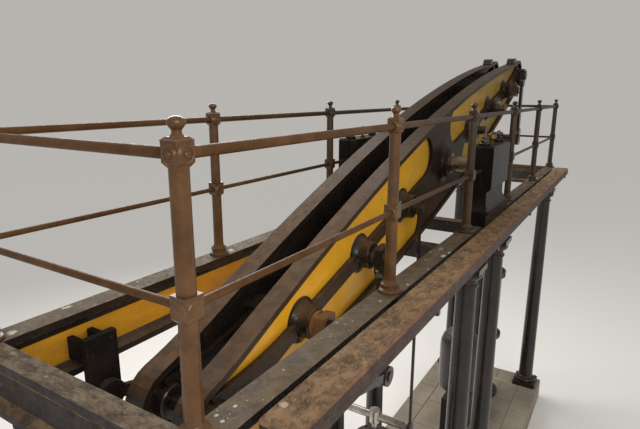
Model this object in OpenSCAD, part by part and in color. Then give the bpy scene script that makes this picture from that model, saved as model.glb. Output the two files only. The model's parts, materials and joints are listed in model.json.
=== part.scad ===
// Beam pumping engine with a twin-cheek cast-iron beam, parallel motion and railed beam floor.
// X runs across the engine, Y along it towards the pump end, Z up from the ground.
// The origin is on the ground, straight below the middle of the gudgeon.
// The beam is drawn at the low end of its swing, with the steam end down.

/* [Levels] */
// Gap between the piston rod's crosshead and the gland at the low end of the stroke
head_gap = 91; // [80:1:250]
// Height of the gudgeon's centre above the girder tops
gudgeon_rise = 581; // [560:1:640]
// Height of the stone bed
bed_h = 400; // [320:10:410]

/* [Beam] */
// Distance from the gudgeon to each end pin
end_r = 4030; // [3950:10:4150]
// Distance from the gudgeon to each outer pin
outer_r = 3060; // [2980:10:3160]
// Distance from the gudgeon to each pin of the back links
back_r = 2100; // [2020:10:2180]
// Distance from the gudgeon to each inner pin
inner_r = 1150; // [1090:10:1250]
// Tilt of the beam at each end of its swing, in degrees
swing = 16; // [14:0.5:16.5]
// Half the depth of the beam at the gudgeon
mid_half = 537; // [500:1:550]
// Half the depth that the beam's bow would have at the end pins
bow_half = 220; // [200:1:240]
// Radius of the beam's round ends
end_half = 250; // [235:1:265]
// Distance from the middle of the beam to the middle of each cheek
cheek_x = 197; // [190:1:205]
// Width of the flange round each cheek
flange_w = 158; // [140:2:170]
// Thickness of the flange round each cheek
flange_t = 47; // [30:1:50]
// Thickness of the web of each cheek
web_t = 46; // [30:1:60]
// Height of the rib along the middle of each cheek
rib_h = 120; // [90:2:140]
// How far the rib and the hub pad lie inside the flange's edge
rib_inset = 14; // [6:1:24]
// Radius of the bosses for the pins
boss_r = 118; // [112:1:125]
// How far the foot of each boss flares out on the web
boss_flare = 72; // [50:1:80]
// Radius of the main hub at its face
hub_r = 166; // [155:1:185]
// How far the foot of the main hub flares out
hub_flare = 130; // [90:2:150]
// Half the width of the pad beside the hub above the rib
pad_half = 310; // [280:2:340]
// Half the width of the pad beside the hub below the rib
low_pad_half = 750; // [650:5:780]
// How much wider the rib grows at the end pins, to each side
rib_swell = 125; // [60:1:140]

/* [Pins and links] */
// Radius of the pins through the beam
pin_r = 55; // [48:1:60]
// Distance from the middle to the face of the end bosses
end_boss_x = 300; // [295:1:305]
// Distance from the middle to the face of the other bosses
boss_x = 355; // [345:1:362]
// Thickness of the main links and pump links
link_t = 70; // [60:1:76]
// Distance from the middle to the inner face of the back links
back_x = 405; // [400:1:410]
// Length of the main, back and pump links between pins
link_l = 1100; // [1080:5:1120]
// Radius of the pins of the parallel motion
motion_pin_r = 45; // [38:1:50]
// Thickness of the parallel bars and radius rods
bar_t = 62; // [50:1:66]
// Side clearance between moving links
side_gap = 6; // [5:1:9]
// Radial running clearance of a pin in its eye
run_fit = 0.06; // [0.02:0.01:0.1]
// Clearance of a part that seats in or on another
seat_gap = 0.3; // [0.2:0.1:0.4]

/* [Gudgeon and bearings] */
// Radius of the gudgeon's journals
journal_r = 90; // [80:1:100]
// Radius of the gudgeon in the hubs
gudgeon_r = 110; // [105:1:120]
// Wall of the bearing brasses
brass_t = 35; // [25:1:45]
// Width of each pedestal across the engine
pedestal_w = 240; // [210:5:260]
// Width of a pedestal's body below the bearing
waist_w = 150; // [140:2:170]
// Half the length of each pedestal along the engine
pedestal_half = 400; // [360:5:430]
// Half the length of each pedestal's foot
foot_half = 520; // [490:5:560]
// Height of the plinth under each pedestal
plinth_t = 130; // [110:5:140]
// Height of a pedestal cap above the gudgeon's centre
cap_rise = 250; // [230:5:280]
// Thickness of the plate that closes each bearing on the outside
cover_t = 26; // [20:1:34]

/* [Girders] */
// Distance from the middle of the engine to each girder and its railing
girder_x = 805; // [790:1:830]
// Depth of the girders
girder_d = 400; // [370:5:420]
// Width of a girder's top flange
top_w = 172; // [160:2:190]
// Thickness of a girder's top flange
top_t = 50; // [40:1:60]
// Width of a girder's bottom flange
bottom_w = 200; // [180:2:220]
// Thickness of a girder's bottom flange
bottom_t = 45; // [35:1:55]
// Thickness of a girder's web
girder_web = 40; // [30:1:50]
// Width of the mouldings next to the flanges
mould_w = 96; // [80:2:110]
// Height of the moulding below the top flange
mould_h = 58; // [40:1:70]
// Width of the top of each cross girder
cross_w = 130; // [110:2:150]
// Depth of the tie beams at the middle columns
tie_d = 150; // [120:5:160]

/* [Edge beam] */
// Gap between the right girder's flange and the edge beam
edge_gap = 36; // [25:1:50]
// Width of the edge beam
edge_w = 220; // [200:2:250]
// Thickness of the edge beam
edge_t = 100; // [80:2:108]
// Radius of the edge beam's corners
edge_r = 45; // [20:1:60]

/* [Railing] */
// Number of railing bays along each side
bays = 5; // [5:2:7]
// Distance from the outermost fixing inside the girders to the end railing
end_margin = 170.7; // [150:0.1:260]
// How far the girders and the railing are set off from the gudgeon, towards the pump end
rail_shift = 135; // [80:5:180]
// Height of the top rail's centre above the girders
rail_z = 1150; // [1120:5:1180]
// Height of the lower rail's centre above the girders
low_rail_z = 575; // [550:5:600]
// Radius of the top rail
rail_r = 23; // [18:1:26]
// Radius of the lower rail
low_rail_r = 18; // [14:1:22]
// Radius of a post at its foot
post_r = 41; // [37:1:44]
// Radius of a post at its top
post_top_r = 37; // [34:1:38]
// Half the side of the square block that holds the top rail
block_half = 41; // [39:1:43]
// Half the side of the square block that holds the lower rail
low_block_half = 44; // [43:1:46]
// How far the round rail seats stand out of a block's faces
seat_reach = 5; // [3:1:9]
// Radius of the flattened ball on a post
ball_r = 34; // [30:1:38]

/* [Columns and bed] */
// Distance from the end railing back to each end column
col_inset = 190; // [150:5:220]
// Distance from the middle of the engine to each middle column, along it
mid_col_y = 620; // [580:5:680]
// Radius of a column at its foot
column_r = 135; // [115:1:150]
// Radius of a column at its neck
neck_r = 108; // [95:1:112]
// Side of a column's square plinth
plinth_w = 420; // [380:5:440]
// Side of a column's square cap
abacus_w = 330; // [300:5:345]
// Margin of stone outside the columns' plinths
bed_margin = 60; // [30:5:90]

/* [Steam cylinder] */
// Bore radius of the steam cylinder
cyl_bore = 400; // [360:5:420]
// Wall of the steam cylinder
cyl_wall = 45; // [35:1:55]
// Depth of the piston
piston_t = 200; // [160:5:210]
// Radius of the piston rod
rod_r = 55; // [45:1:60]
// Clearance above and below the piston's travel
end_clear = 42; // [30:1:44]
// Thickness of the cylinder's flanges and cover
cyl_flange_t = 50; // [40:1:55]

/* [Pump side] */
// Bore radius of the pump barrel
pump_bore = 260; // [230:5:280]
// Wall of the pump barrel
pump_wall = 40; // [30:1:50]
// Radius of the pump rod
pump_rod_r = 48; // [40:1:55]
// Distance from the pump barrel's middle to the air vessel's
vessel_reach = 1500; // [1400:10:1600]
// Radius of the air vessel
vessel_r = 340; // [300:5:360]
// Height of the air vessel's body
vessel_h = 1350; // [1250:10:1450]
// Width of the valve chest
valve_w = 420; // [400:5:460]
// Height of the valve chest
valve_h = 640; // [600:5:680]
// Radius of the air pump's barrel
air_r = 190; // [170:5:210]
// Length of the rods from the inner pins down to the air pump's crosshead
air_link_l = 2500; // [2450:10:2550]
// Radius of the rods down to the air pump's crosshead
air_link_r = 17; // [14:1:20]

/* [Hidden] */
$fn = 48;
eps = 0.5;

// The stroke, and the levels that the stack from the bed up to the beam gives
lift = 2 * end_r * sin(swing);
gland_h = 150;
gland_lip = 14;
head_h = 220;
piston_base = bed_h + cyl_flange_t + end_clear;
cyl_top = piston_base + piston_t + lift + end_clear;
head_low = cyl_top + gland_h + gland_lip + head_gap + head_h / 2;
gudgeon_z = head_low + link_l + lift / 2;
floor_z = gudgeon_z - gudgeon_rise;

rib_half_x = flange_w / 2 - rib_inset;
inner_face_x = 100;
boss_in = cheek_x - inner_face_x;

// Places of the pins at rest as [y, z]; a negative radius is on the steam side
function beam_pin(r) = [r * cos(swing), gudgeon_z + r * sin(swing)];
// The point a given length straight below another
function below(p, l) = [p[0], p[1] - l];

steam_pin = beam_pin(-end_r);
pump_pin = beam_pin(end_r);
back_pin = beam_pin(-back_r);
air_pin = beam_pin(-inner_r);
head_pt = below(steam_pin, link_l);
knee_pt = below(back_pin, link_l);
pump_head_pt = below(pump_pin, link_l);
air_head_pt = below(air_pin, air_link_l);
anchor_pt = [back_pin[0] - back_r * cos(swing), gudgeon_z - link_l];

link_x = end_boss_x + side_gap + 4;
bar_x = link_x - side_gap - bar_t;
rod_x = back_x + link_t + 2 * side_gap;
head_half_x = bar_x - side_gap;
bracket_x = rod_x + bar_t + side_gap;
bracket_t = 50;
bracket_half = 110;

// The railing and the girders reach past the cylinder and the brackets of the radius rods
cyl_lip = 75;
end_reach = max(end_r * cos(swing) + cyl_bore + cyl_wall + cyl_lip, 2 * back_r * cos(swing) + bracket_half);
rail_half = end_reach + end_margin + rail_shift;
bay = 2 * rail_half / bays;
end_col_y = rail_half - col_inset;
girder_half = rail_half + cross_w;
column_top = floor_z - girder_d;
brass_r = journal_r + brass_t;
edge_x = girder_x + top_w / 2 + edge_gap;

iron = [0.09, 0.085, 0.085];
dusty = [0.34, 0.29, 0.25];
ochre = [0.74, 0.54, 0.13];
brown = [0.33, 0.21, 0.15];
steel = [0.66, 0.64, 0.6];
brass = [0.66, 0.5, 0.22];
stone = [0.55, 0.52, 0.46];

// Extrudes a side view, drawn as [y, z], across the engine from x0 to x1
module across(x0, x1) {
  translate([x0, 0, 0])
    rotate([90, 0, 90])
      linear_extrude(x1 - x0)
        children();
}

// A revolved form along X whose profile is drawn as [radius, x]
module turned_x(profile) {
  rotate([0, 90, 0])
    rotate_extrude()
      polygon(profile);
}

// A plain round bar along X
module bar_x(r, x0, x1) {
  translate([x0, 0, 0])
    rotate([0, 90, 0])
      cylinder(r = r, h = x1 - x0);
}

// The same on both sides of the engine
module both_sides() {
  children();
  mirror([1, 0, 0])
    children();
}

// An outline given by its right half from bottom to top, closed by the mirrored left half
function both_edges(right) = concat(right, [for (i = [len(right) - 1:-1:0]) [-right[i][0], right[i][1]]]);

// Sets its children in the tilted frame of the beam
module on_beam() {
  translate([0, 0, gudgeon_z])
    rotate([swing, 0, 0])
      children();
}

// Rounded rectangle centred on the origin
module rounded(w, l, r) {
  polygon([
    for (c = [[1, 1, 0], [-1, 1, 90], [-1, -1, 180], [1, -1, 270]])
      for (i = [0:6])
        [c[0] * (w / 2 - r) + r * cos(c[2] + i * 15), c[1] * (l / 2 - r) + r * sin(c[2] + i * 15)]
  ]);
}

// Half depth of the beam at a distance s from the gudgeon: a bow that eases into the round ends
ease_l = 480;
function bow(s) = mid_half - (mid_half - bow_half) * pow(s / end_r, 2);
function bow_slope(s) = -2 * (mid_half - bow_half) * s / (end_r * end_r);
function eased(t, h0, h1, rise) =
  h0 * (2 * t * t * t - 3 * t * t + 1) + h1 * t * t * (3 - 2 * t) + rise * t * (1 - t) * (1 - t);
function half_depth(s) =
  let (s0 = end_r - ease_l, t = (abs(s) - s0) / ease_l)
  t <= 0 ? bow(s) : eased(t, bow(s0), end_half, bow_slope(s0) * ease_l);

// Upper edge of a cheek, inset by d, from the steam end to the pump end, with closer points at the ends
beam_steps = 32;
function upper_edge(d) =
  [for (i = [0:beam_steps]) let (s = -end_r * cos(180 * i / beam_steps)) [s, half_depth(s) - d]];

// Round nose at the pump end, inset by d, from its upper to its lower edge
nose_steps = 12;
function nose_edge(d) =
  [for (i = [1:nose_steps - 1]) let (a = 90 - 180 * i / nose_steps)
    [end_r + (end_half - d) * cos(a), (end_half - d) * sin(a)]];

function turned_round(points) = [for (p = points) [-p[0], -p[1]]];

function cheek_edge(d) =
  let (half = concat(upper_edge(d), nose_edge(d)))
  concat(half, turned_round(half));

// Half width of the pad beside the hub at height h, hollowed by the round ends of the panels
panel_low = rib_h / 2;
panel_top = mid_half - flange_t;
panel_r = (panel_top - panel_low) / 2;
function hollow(h) = panel_r - sqrt(max(0, panel_r * panel_r - pow(h - panel_low - panel_r, 2)));

pad_steps = 20;
module hub_pad() {
  upper = [for (i = [0:pad_steps]) let (h = panel_low + 2 * panel_r * i / pad_steps)
    [pad_half + hollow(h), h]];
  lower = [for (i = [pad_steps:-1:0]) let (h = panel_low + 2 * panel_r * i / pad_steps)
    [low_pad_half + hollow(h), -h]];
  polygon(both_edges(concat(lower, upper)));
}

// The rib along the middle of a cheek, which swells towards the end pins
swell_l = 790;
swell_steps = 8;
module rib() {
  edge = [for (i = [0:swell_steps]) let (t = i / swell_steps)
    [end_r - swell_l * (1 - t), rib_h / 2 + rib_swell * t * t]];
  lower = [for (p = edge) [p[0], -p[1]]];
  upper = [for (i = [swell_steps:-1:0]) edge[i]];
  polygon(both_edges(concat(lower, upper)));
}

// A boss that stands on the web on both faces, with a bell-shaped foot
bell_steps = 6;
bell_l = 92;
bevel = 8;
module pin_boss(face) {
  l = min(bell_l, face - web_t / 2 - 2 * bevel);
  turned_x(concat(
    [[0, -boss_in], [boss_r - bevel, -boss_in], [boss_r, bevel - boss_in], [boss_r, 0]],
    [for (i = [0:bell_steps]) let (a = i * 90 / bell_steps)
      [boss_r + boss_flare * (1 - sin(a)), web_t / 2 + l * (1 - cos(a))]],
    [[boss_r, face - bevel], [boss_r - bevel, face], [0, face]]
  ));
}

// The main hub, flared like a trumpet, with a narrow collar at its face
hub_bell_l = 75;
module main_hub() {
  face = boss_x - cheek_x;
  neck = hub_r - bevel;
  turned_x(concat(
    [[0, -hub_in], [neck, -hub_in], [neck, 0]],
    [for (i = [0:bell_steps]) let (a = i * 90 / bell_steps)
      [neck + hub_flare * (1 - sin(a)), rib_half_x + hub_bell_l * (1 - cos(a))]],
    [[neck, face - 12], [hub_r, face - 10], [hub_r, face - 2], [neck, face], [0, face]]
  ));
}
hub_in = boss_in + 16;

module cheek() {
  on_beam()
    translate([cheek_x, 0, 0])
      difference() {
        union() {
          across(-flange_w / 2, flange_w / 2)
            polygon(
              concat(cheek_edge(0), cheek_edge(flange_t)),
              [
                [for (i = [0:len(cheek_edge(0)) - 1]) i],
                [for (i = [0:len(cheek_edge(0)) - 1]) i + len(cheek_edge(0))]
              ]
            );
          across(-web_t / 2, web_t / 2)
            polygon(cheek_edge(flange_t / 2));
          across(-rib_half_x, rib_half_x) {
            hub_pad();
            rib();
          }
          main_hub();
          for (s = [-1, 1])
            for (r = [outer_r, back_r, inner_r])
              translate([0, s * r, 0])
                pin_boss(boss_x - cheek_x);
          for (s = [-1, 1])
            translate([0, s * end_r, 0])
              pin_boss(end_boss_x - cheek_x);
        }
        bar_x(gudgeon_r + run_fit, -flange_w * 2, flange_w * 2);
        for (s = [-1, 1])
          for (r = [end_r, outer_r, back_r, inner_r])
            translate([0, s * r, 0])
              bar_x(pin_r + run_fit, -flange_w * 2, flange_w * 2);
      }
}

module cheek_right() {
  color(dusty)
    cheek();
}

module cheek_left() {
  color(dusty)
    mirror([1, 0, 0])
      cheek();
}

// The gudgeon: a turned shaft with a body between the cheeks and a journal at each end
journal_in = 30;
end_play = 6;
module gudgeon() {
  body_x = cheek_x - hub_in - seat_gap;
  journal_x = boss_x + journal_in;
  end_x = girder_x + pedestal_w / 2 - cover_t - end_play;
  color(steel)
    on_beam()
      both_sides()
        turned_x([
          [0, 0], [gudgeon_r + 22, 0], [gudgeon_r + 22, body_x - 10], [gudgeon_r + 12, body_x],
          [gudgeon_r, body_x], [gudgeon_r, journal_x - 12], [journal_r, journal_x],
          [journal_r, end_x - 12], [journal_r - 12, end_x], [0, end_x]
        ]);
}

// Pins through both cheeks; each kind reaches as far as what hangs from it
nut_t = 74;
nut_w = 176;
nut_turn = -20;
nut_collar_t = 30;
nut_collar_r = 102;
collar_t = 14;
module beam_pins() {
  end_pin_x = link_x + link_t + side_gap + collar_t;
  color(iron)
    on_beam() {
      for (s = [-1, 1])
        translate([0, s * end_r, 0]) {
          bar_x(pin_r, -end_pin_x, end_pin_x);
          both_sides()
            bar_x(pin_r + 22, link_x + link_t + side_gap, end_pin_x);
        }
      for (s = [-1, 1])
        translate([0, s * outer_r, 0])
          bar_x(pin_r, -outer_pin_x, outer_pin_x);
      for (s = [-1, 1])
        translate([0, s * back_r, 0]) {
          bar_x(pin_r, -back_x - link_t - side_gap - collar_t, back_x + link_t + side_gap + collar_t);
          both_sides() {
            bar_x(pin_r + 20, boss_x, back_x - side_gap);
            bar_x(pin_r + 20, back_x + link_t + side_gap, back_x + link_t + side_gap + collar_t);
          }
        }
      for (s = [-1, 1])
        translate([0, s * inner_r, 0])
          bar_x(pin_r, -air_pin_x, air_pin_x);
    }
}
air_eye_t = 40;
air_pin_x = back_x + air_eye_t + side_gap + collar_t;
outer_pin_x = boss_x + nut_collar_t + nut_t + collar_t;

// Square nuts with a round collar behind them on the outer pins
module pin_nuts() {
  color(iron)
    on_beam()
      both_sides()
        for (s = [-1, 1])
          translate([0, s * outer_r, 0])
            difference() {
              union() {
                bar_x(nut_collar_r, boss_x, boss_x + nut_collar_t);
                rotate([nut_turn, 0, 0])
                  translate([boss_x + nut_collar_t - eps, -nut_w / 2, -nut_w / 2])
                    cube([nut_t + eps, nut_w, nut_w]);
              }
              bar_x(pin_r + run_fit, boss_x - eps, boss_x + nut_t + nut_collar_t + eps);
            }
}

// Cast distance pieces that hold the cheeks apart, low between them
spacer_r = 46;
spacer_foot_r = 72;
spacer_drop = 90;
module distance_pieces() {
  half = cheek_x - web_t / 2;
  places = [
    (end_r + 3 * outer_r) / 4, (outer_r + back_r) / 2, (back_r + inner_r) / 2, (inner_r + low_pad_half) / 2
  ];
  color(iron)
    on_beam()
      for (s = [-1, 1])
        for (r = places)
          translate([0, s * r, -rib_h / 2 - spacer_drop]) {
            bar_x(spacer_r, -half, half);
            both_sides()
              bar_x(spacer_foot_r, half - 22, half);
          }
}

// Rounded lugs over the pump end, whose feet follow the edge of the top flange
lug_l = 210;
lug_h = 74;
lug_lip = 12;
lug_inset = 215;
lug_margin = 14;
module end_lugs() {
  edge = upper_edge(0);
  middle = end_r - lug_inset;
  low = middle - lug_l / 2;
  high = middle + lug_l / 2;
  foot = concat([low], [for (p = edge) if (p[0] > low && p[0] < high) p[0]], [high]);
  outline = concat(
    [for (s = foot) [s, seat_gap]],
    [[high, lug_lip]],
    [for (i = [1:11]) let (a = i * 15) [middle + lug_l * 0.4 * cos(a), lug_lip - 4 + lug_h * sin(a)]],
    [[low, lug_lip]]
  );
  color(iron)
    on_beam()
      both_sides()
        across(cheek_x - flange_w / 2 + lug_margin, cheek_x + flange_w / 2 - lug_margin)
          polygon([for (p = outline) [p[0], lookup(p[0], edge) + p[1]]]);
}

// A swelling shank between two pins a length l apart along Y
shank_steps = 12;
module shank(l, x0, x1, end_w, mid_w) {
  edge = [for (i = [0:shank_steps]) let (t = i / shank_steps)
    [l * t, end_w / 2 + (mid_w - end_w) / 2 * sin(180 * t)]];
  across(x0, x1)
    polygon(concat(edge, [for (i = [shank_steps:-1:0]) [edge[i][0], -edge[i][1]]]));
}

// A bar with round eyes between p and q; each eye has its own bore, or none where it is 0
module eye_bar(p, q, x, t, eye_r, end_w, mid_w, bore_p, bore_q) {
  l = norm(q - p);
  translate([0, p[0], p[1]])
    rotate([atan2(q[1] - p[1], q[0] - p[0]), 0, 0])
      difference() {
        union() {
          bar_x(eye_r, x, x + t);
          translate([0, l, 0])
            bar_x(eye_r, x, x + t);
          shank(l, x + t * 0.16, x + t * 0.84, end_w, mid_w);
        }
        if (bore_p > 0)
          bar_x(bore_p + run_fit, x - eps, x + t + eps);
        if (bore_q > 0)
          translate([0, l, 0])
            bar_x(bore_q + run_fit, x - eps, x + t + eps);
      }
}

// A hanging link with square strap ends, from p straight down to q
strap_w = 170;
strap_h = 250;
module strap_link(p, q, x, t, bore_p, bore_q) {
  l = p[1] - q[1];
  translate([0, p[0], p[1]])
    rotate([-90, 0, 0])
      difference() {
        union() {
          for (e = [[0, 1], [l, -1]])
            across(x, x + t)
              translate([e[0], 0])
                rotate(e[1] > 0 ? 0 : 180)
                  strap_end();
          shank(l, x + t * 0.18, x + t * 0.82, 84, 118);
        }
        bar_x(bore_p + run_fit, x - eps, x + t + eps);
        translate([0, l, 0])
          bar_x(bore_q + run_fit, x - eps, x + t + eps);
      }
}

// Outline of a strap end: square at the tip with cut corners, sloping in to the shank
module strap_end() {
  c = 24;
  tip = strap_w * 0.62;
  polygon([
    [c - tip, -strap_w / 2], [strap_h - tip - c, -strap_w / 2], [strap_h - tip + 40, -42],
    [strap_h - tip + 40, 42], [strap_h - tip - c, strap_w / 2], [c - tip, strap_w / 2],
    [-tip, strap_w / 2 - c], [-tip, c - strap_w / 2]
  ]);
}

module main_links() {
  color(iron)
    both_sides()
      strap_link(steam_pin, head_pt, link_x, link_t, pin_r, motion_pin_r);
}

module back_links() {
  color(iron)
    both_sides()
      strap_link(back_pin, knee_pt, back_x, link_t, pin_r, motion_pin_r);
}

module pump_links() {
  color(iron)
    both_sides()
      strap_link(pump_pin, pump_head_pt, link_x, link_t, pin_r, 0);
}

// Parallel bars with the pins that run in the main and back links
motion_eye_r = 92;
module parallel_bars() {
  color(iron)
    both_sides() {
      eye_bar(head_pt, knee_pt, bar_x, bar_t, motion_eye_r, 90, 120, 0, 0);
      translate([0, head_pt[0], head_pt[1]])
        bar_x(motion_pin_r, bar_x + bar_t - eps, link_x + link_t);
      translate([0, knee_pt[0], knee_pt[1]])
        bar_x(motion_pin_r, bar_x + bar_t - eps, back_x + link_t + side_gap);
    }
}

// Radius rods from the brackets to the knee of the parallel motion
module radius_rods() {
  color(iron)
    both_sides() {
      eye_bar(anchor_pt, knee_pt, rod_x, bar_t, motion_eye_r, 76, 100, motion_pin_r, 0);
      translate([0, knee_pt[0], knee_pt[1]])
        bar_x(motion_pin_r, rod_x + bar_t - eps, rod_x + bar_t + 14);
    }
}

// Brackets inside the girders that hold the fixed pins of the radius rods
module radius_brackets() {
  arm_z = [floor_z - girder_d + bottom_t + 46, floor_z - top_t - mould_h - 56];
  web_face = girder_x - girder_web / 2;
  color(iron)
    both_sides() {
      translate([0, anchor_pt[0], 0])
        across(bracket_x, bracket_x + bracket_t)
          polygon(concat(
            [[bracket_half, arm_z[1] + 40], [-bracket_half, arm_z[1] + 40]],
            [for (i = [0:12]) let (a = 180 + i * 15)
              [bracket_half * cos(a), anchor_pt[1] + bracket_half * sin(a)]]
          ));
      for (y = [-70, 70])
        translate([bracket_x + bracket_t - eps, anchor_pt[0] + y - 20, arm_z[0]])
          cube([web_face - bracket_x - bracket_t + eps, 40, arm_z[1] - arm_z[0]]);
      translate([0, anchor_pt[0], anchor_pt[1]]) {
        bar_x(motion_pin_r, rod_x - side_gap, bracket_x + eps);
        bar_x(motion_pin_r + 25, bracket_x - side_gap / 2, bracket_x + eps);
      }
    }
}

// A crosshead block with a trunnion at each side, centred on the point p
module cross_block(p, half_x, pin, r, h) {
  translate([0, p[0], p[1]]) {
    cylinder(r = r, h = h, center = true);
    bar_x(pin * 1.5, -half_x + 40, half_x - 40);
    bar_x(pin, -half_x, half_x);
  }
}

// The crosshead on top of the piston rod, with the rod's socket reaching past its middle
socket_top = 60;
module crosshead() {
  color(iron)
    difference() {
      cross_block(head_pt, head_half_x, motion_pin_r, 2 * rod_r, head_h);
      translate([0, head_pt[0], head_pt[1] - head_h / 2 - 1])
        cylinder(r = rod_r + run_fit, h = head_h / 2 + 1 + socket_top);
    }
}

// Piston rod with its piston, which is turned with ring grooves
module piston_rod() {
  z0 = piston_base;
  ring_w = 24;
  color(steel)
    translate([0, steam_pin[0], 0]) {
      translate([0, 0, z0 + piston_t - eps])
        cylinder(r = rod_r, h = head_pt[1] + socket_top - seat_gap - z0 - piston_t + eps);
      translate([0, 0, z0])
        rotate_extrude()
          polygon([
            [0, 0], [cyl_bore - 1, 0], [cyl_bore - 1, ring_w], [cyl_bore - 8, ring_w],
            [cyl_bore - 8, 2 * ring_w], [cyl_bore - 1, 2 * ring_w],
            [cyl_bore - 1, piston_t - 2 * ring_w], [cyl_bore - 8, piston_t - 2 * ring_w],
            [cyl_bore - 8, piston_t - ring_w], [cyl_bore - 1, piston_t - ring_w],
            [cyl_bore - 1, piston_t], [0, piston_t]
          ]);
    }
}

// Steam cylinder: a flanged barrel with a closed foot
module steam_cylinder() {
  out_r = cyl_bore + cyl_wall;
  lip_r = out_r + cyl_lip;
  h = cyl_top - bed_h;
  color(iron)
    translate([0, steam_pin[0], bed_h])
      rotate_extrude()
        polygon([
          [0, 0], [lip_r, 0], [lip_r, cyl_flange_t], [out_r + 18, cyl_flange_t + 10],
          [out_r, cyl_flange_t + 60], [out_r, h - 170], [out_r + 14, h - 160], [out_r + 14, h - 130],
          [out_r, h - 120], [out_r, h - cyl_flange_t - 30], [lip_r, h - cyl_flange_t],
          [lip_r, h], [cyl_bore, h], [cyl_bore, cyl_flange_t], [0, cyl_flange_t]
        ]);
}

// A domed cover with a stuffing box and gland, for a rod of radius r on a lip of radius lip
module rod_cover(lip, r, spigot) {
  rotate_extrude()
    polygon([
      [r + run_fit, -20], [spigot - 1, -20], [spigot - 1, 0], [lip, 0],
      [lip, cyl_flange_t - 6], [lip - 6, cyl_flange_t], [lip - 85, cyl_flange_t],
      [r + 95, cyl_flange_t + 34], [r + 70, cyl_flange_t + 48], [r + 58, gland_h - 30],
      [r + 86, gland_h - 24], [r + 86, gland_h], [r + 26, gland_h + 4],
      [r + 18, gland_h + gland_lip], [r + run_fit, gland_h + gland_lip]
    ]);
}

module cylinder_cover() {
  color(iron)
    translate([0, steam_pin[0], cyl_top])
      rod_cover(cyl_bore + cyl_wall + cyl_lip, rod_r, cyl_bore);
}

// Steam chest on the inner side of the cylinder, with a framed lid
chest_w = 460;
chest_d = 260;
chest_margin = 260;
module steam_chest() {
  y0 = steam_pin[0] + cyl_bore + cyl_wall * 0.4;
  z0 = bed_h + chest_margin;
  h = cyl_top - bed_h - 2 * chest_margin;
  color(iron)
    difference() {
      union() {
        translate([-chest_w / 2, y0, z0])
          cube([chest_w, chest_d + cyl_wall, h]);
        translate([-chest_w / 2 - 30, y0 + chest_d + cyl_wall - 40, z0 - 30])
          cube([chest_w + 60, 40, h + 60]);
      }
      for (i = [0, 1])
        translate([-chest_w / 2 + 50, y0 + chest_d + cyl_wall - 14, z0 + 60 + i * (h / 2 - 15)])
          cube([chest_w - 100, 20, h / 2 - 90]);
      translate([0, steam_pin[0], z0 - 60])
        cylinder(r = cyl_bore + cyl_wall + seat_gap, h = h + 120, $fn = 96);
    }
}

// Condenser tank with a rim and a stiffening rib
tank_w = 900;
tank_l = 1250;
tank_h = 700;
tank_y = air_head_pt[0];
module condenser() {
  color(iron)
    translate([0, tank_y, bed_h]) {
      linear_extrude(tank_h - 40)
        rounded(tank_w - 60, tank_l - 60, 50);
      linear_extrude(45)
        rounded(tank_w, tank_l, 60);
      translate([0, 0, tank_h - 45])
        linear_extrude(45)
          rounded(tank_w, tank_l, 60);
    }
}

pipe_r = 95;
pipe_z = bed_h + 480;
module exhaust_pipe() {
  y0 = steam_pin[0] + cyl_bore + cyl_wall * 1.4 + chest_d;
  y1 = tank_y - tank_l / 2 + 30;
  color(iron)
    translate([0, y0, pipe_z])
      rotate([-90, 0, 0])
        rotate_extrude()
          polygon([
            [0, 0], [pipe_r + 45, 0], [pipe_r + 45, 30], [pipe_r, 40], [pipe_r, y1 - y0 - 40],
            [pipe_r + 45, y1 - y0 - 30], [pipe_r + 45, y1 - y0], [0, y1 - y0]
          ]);
}

// Air pump barrel on the condenser, open for its bucket and closed by a gland at the top
air_rod_r = 32;
air_wall = 28;
air_base = bed_h + tank_h;
air_top = air_head_pt[1] - 260;
module air_pump_barrel() {
  color(iron)
    translate([0, tank_y, air_base])
      rotate_extrude()
        polygon([
          [0, 0], [air_r + 60, 0], [air_r + 60, 34], [air_r, 44], [air_r, air_top - air_base - 80],
          [air_r + 50, air_top - air_base - 70], [air_r + 50, air_top - air_base - 30],
          [air_rod_r + 70, air_top - air_base], [air_rod_r + 44, air_top - air_base + 90],
          [air_rod_r + run_fit, air_top - air_base + 90], [air_rod_r + run_fit, air_top - air_base - 60],
          [air_r - air_wall, air_top - air_base - 60], [air_r - air_wall, 34], [0, 34]
        ]);
}

// Crosshead, rod and bucket of the air pump
module air_pump_crosshead() {
  bucket_t = 110;
  bucket_z = air_base + 34 + end_clear;
  color(iron) {
    cross_block(air_head_pt, back_x - side_gap, 30, 62, 150);
    translate([0, tank_y, bucket_z + bucket_t - eps])
      cylinder(r = air_rod_r, h = air_head_pt[1] - bucket_z - bucket_t);
    translate([0, tank_y, bucket_z])
      cylinder(r = air_r - air_wall - 1, h = bucket_t);
  }
}

// Thin rods with an eye at each end, from the inner pins to the air pump's crosshead
module air_pump_links() {
  eye_r = pin_r + 26;
  x = back_x + air_eye_t / 2;
  color(iron)
    both_sides()
      difference() {
        union() {
          translate([0, air_pin[0], air_pin[1]])
            bar_x(eye_r, back_x, back_x + air_eye_t);
          translate([0, air_head_pt[0], air_head_pt[1]])
            bar_x(60, back_x, back_x + air_eye_t);
          translate([x, air_head_pt[0], air_head_pt[1]])
            cylinder(r = air_link_r, h = air_link_l - pin_r - 8);
        }
        translate([0, air_pin[0], air_pin[1]])
          bar_x(pin_r + run_fit, back_x - eps, back_x + air_eye_t + eps);
      }
}

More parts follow.
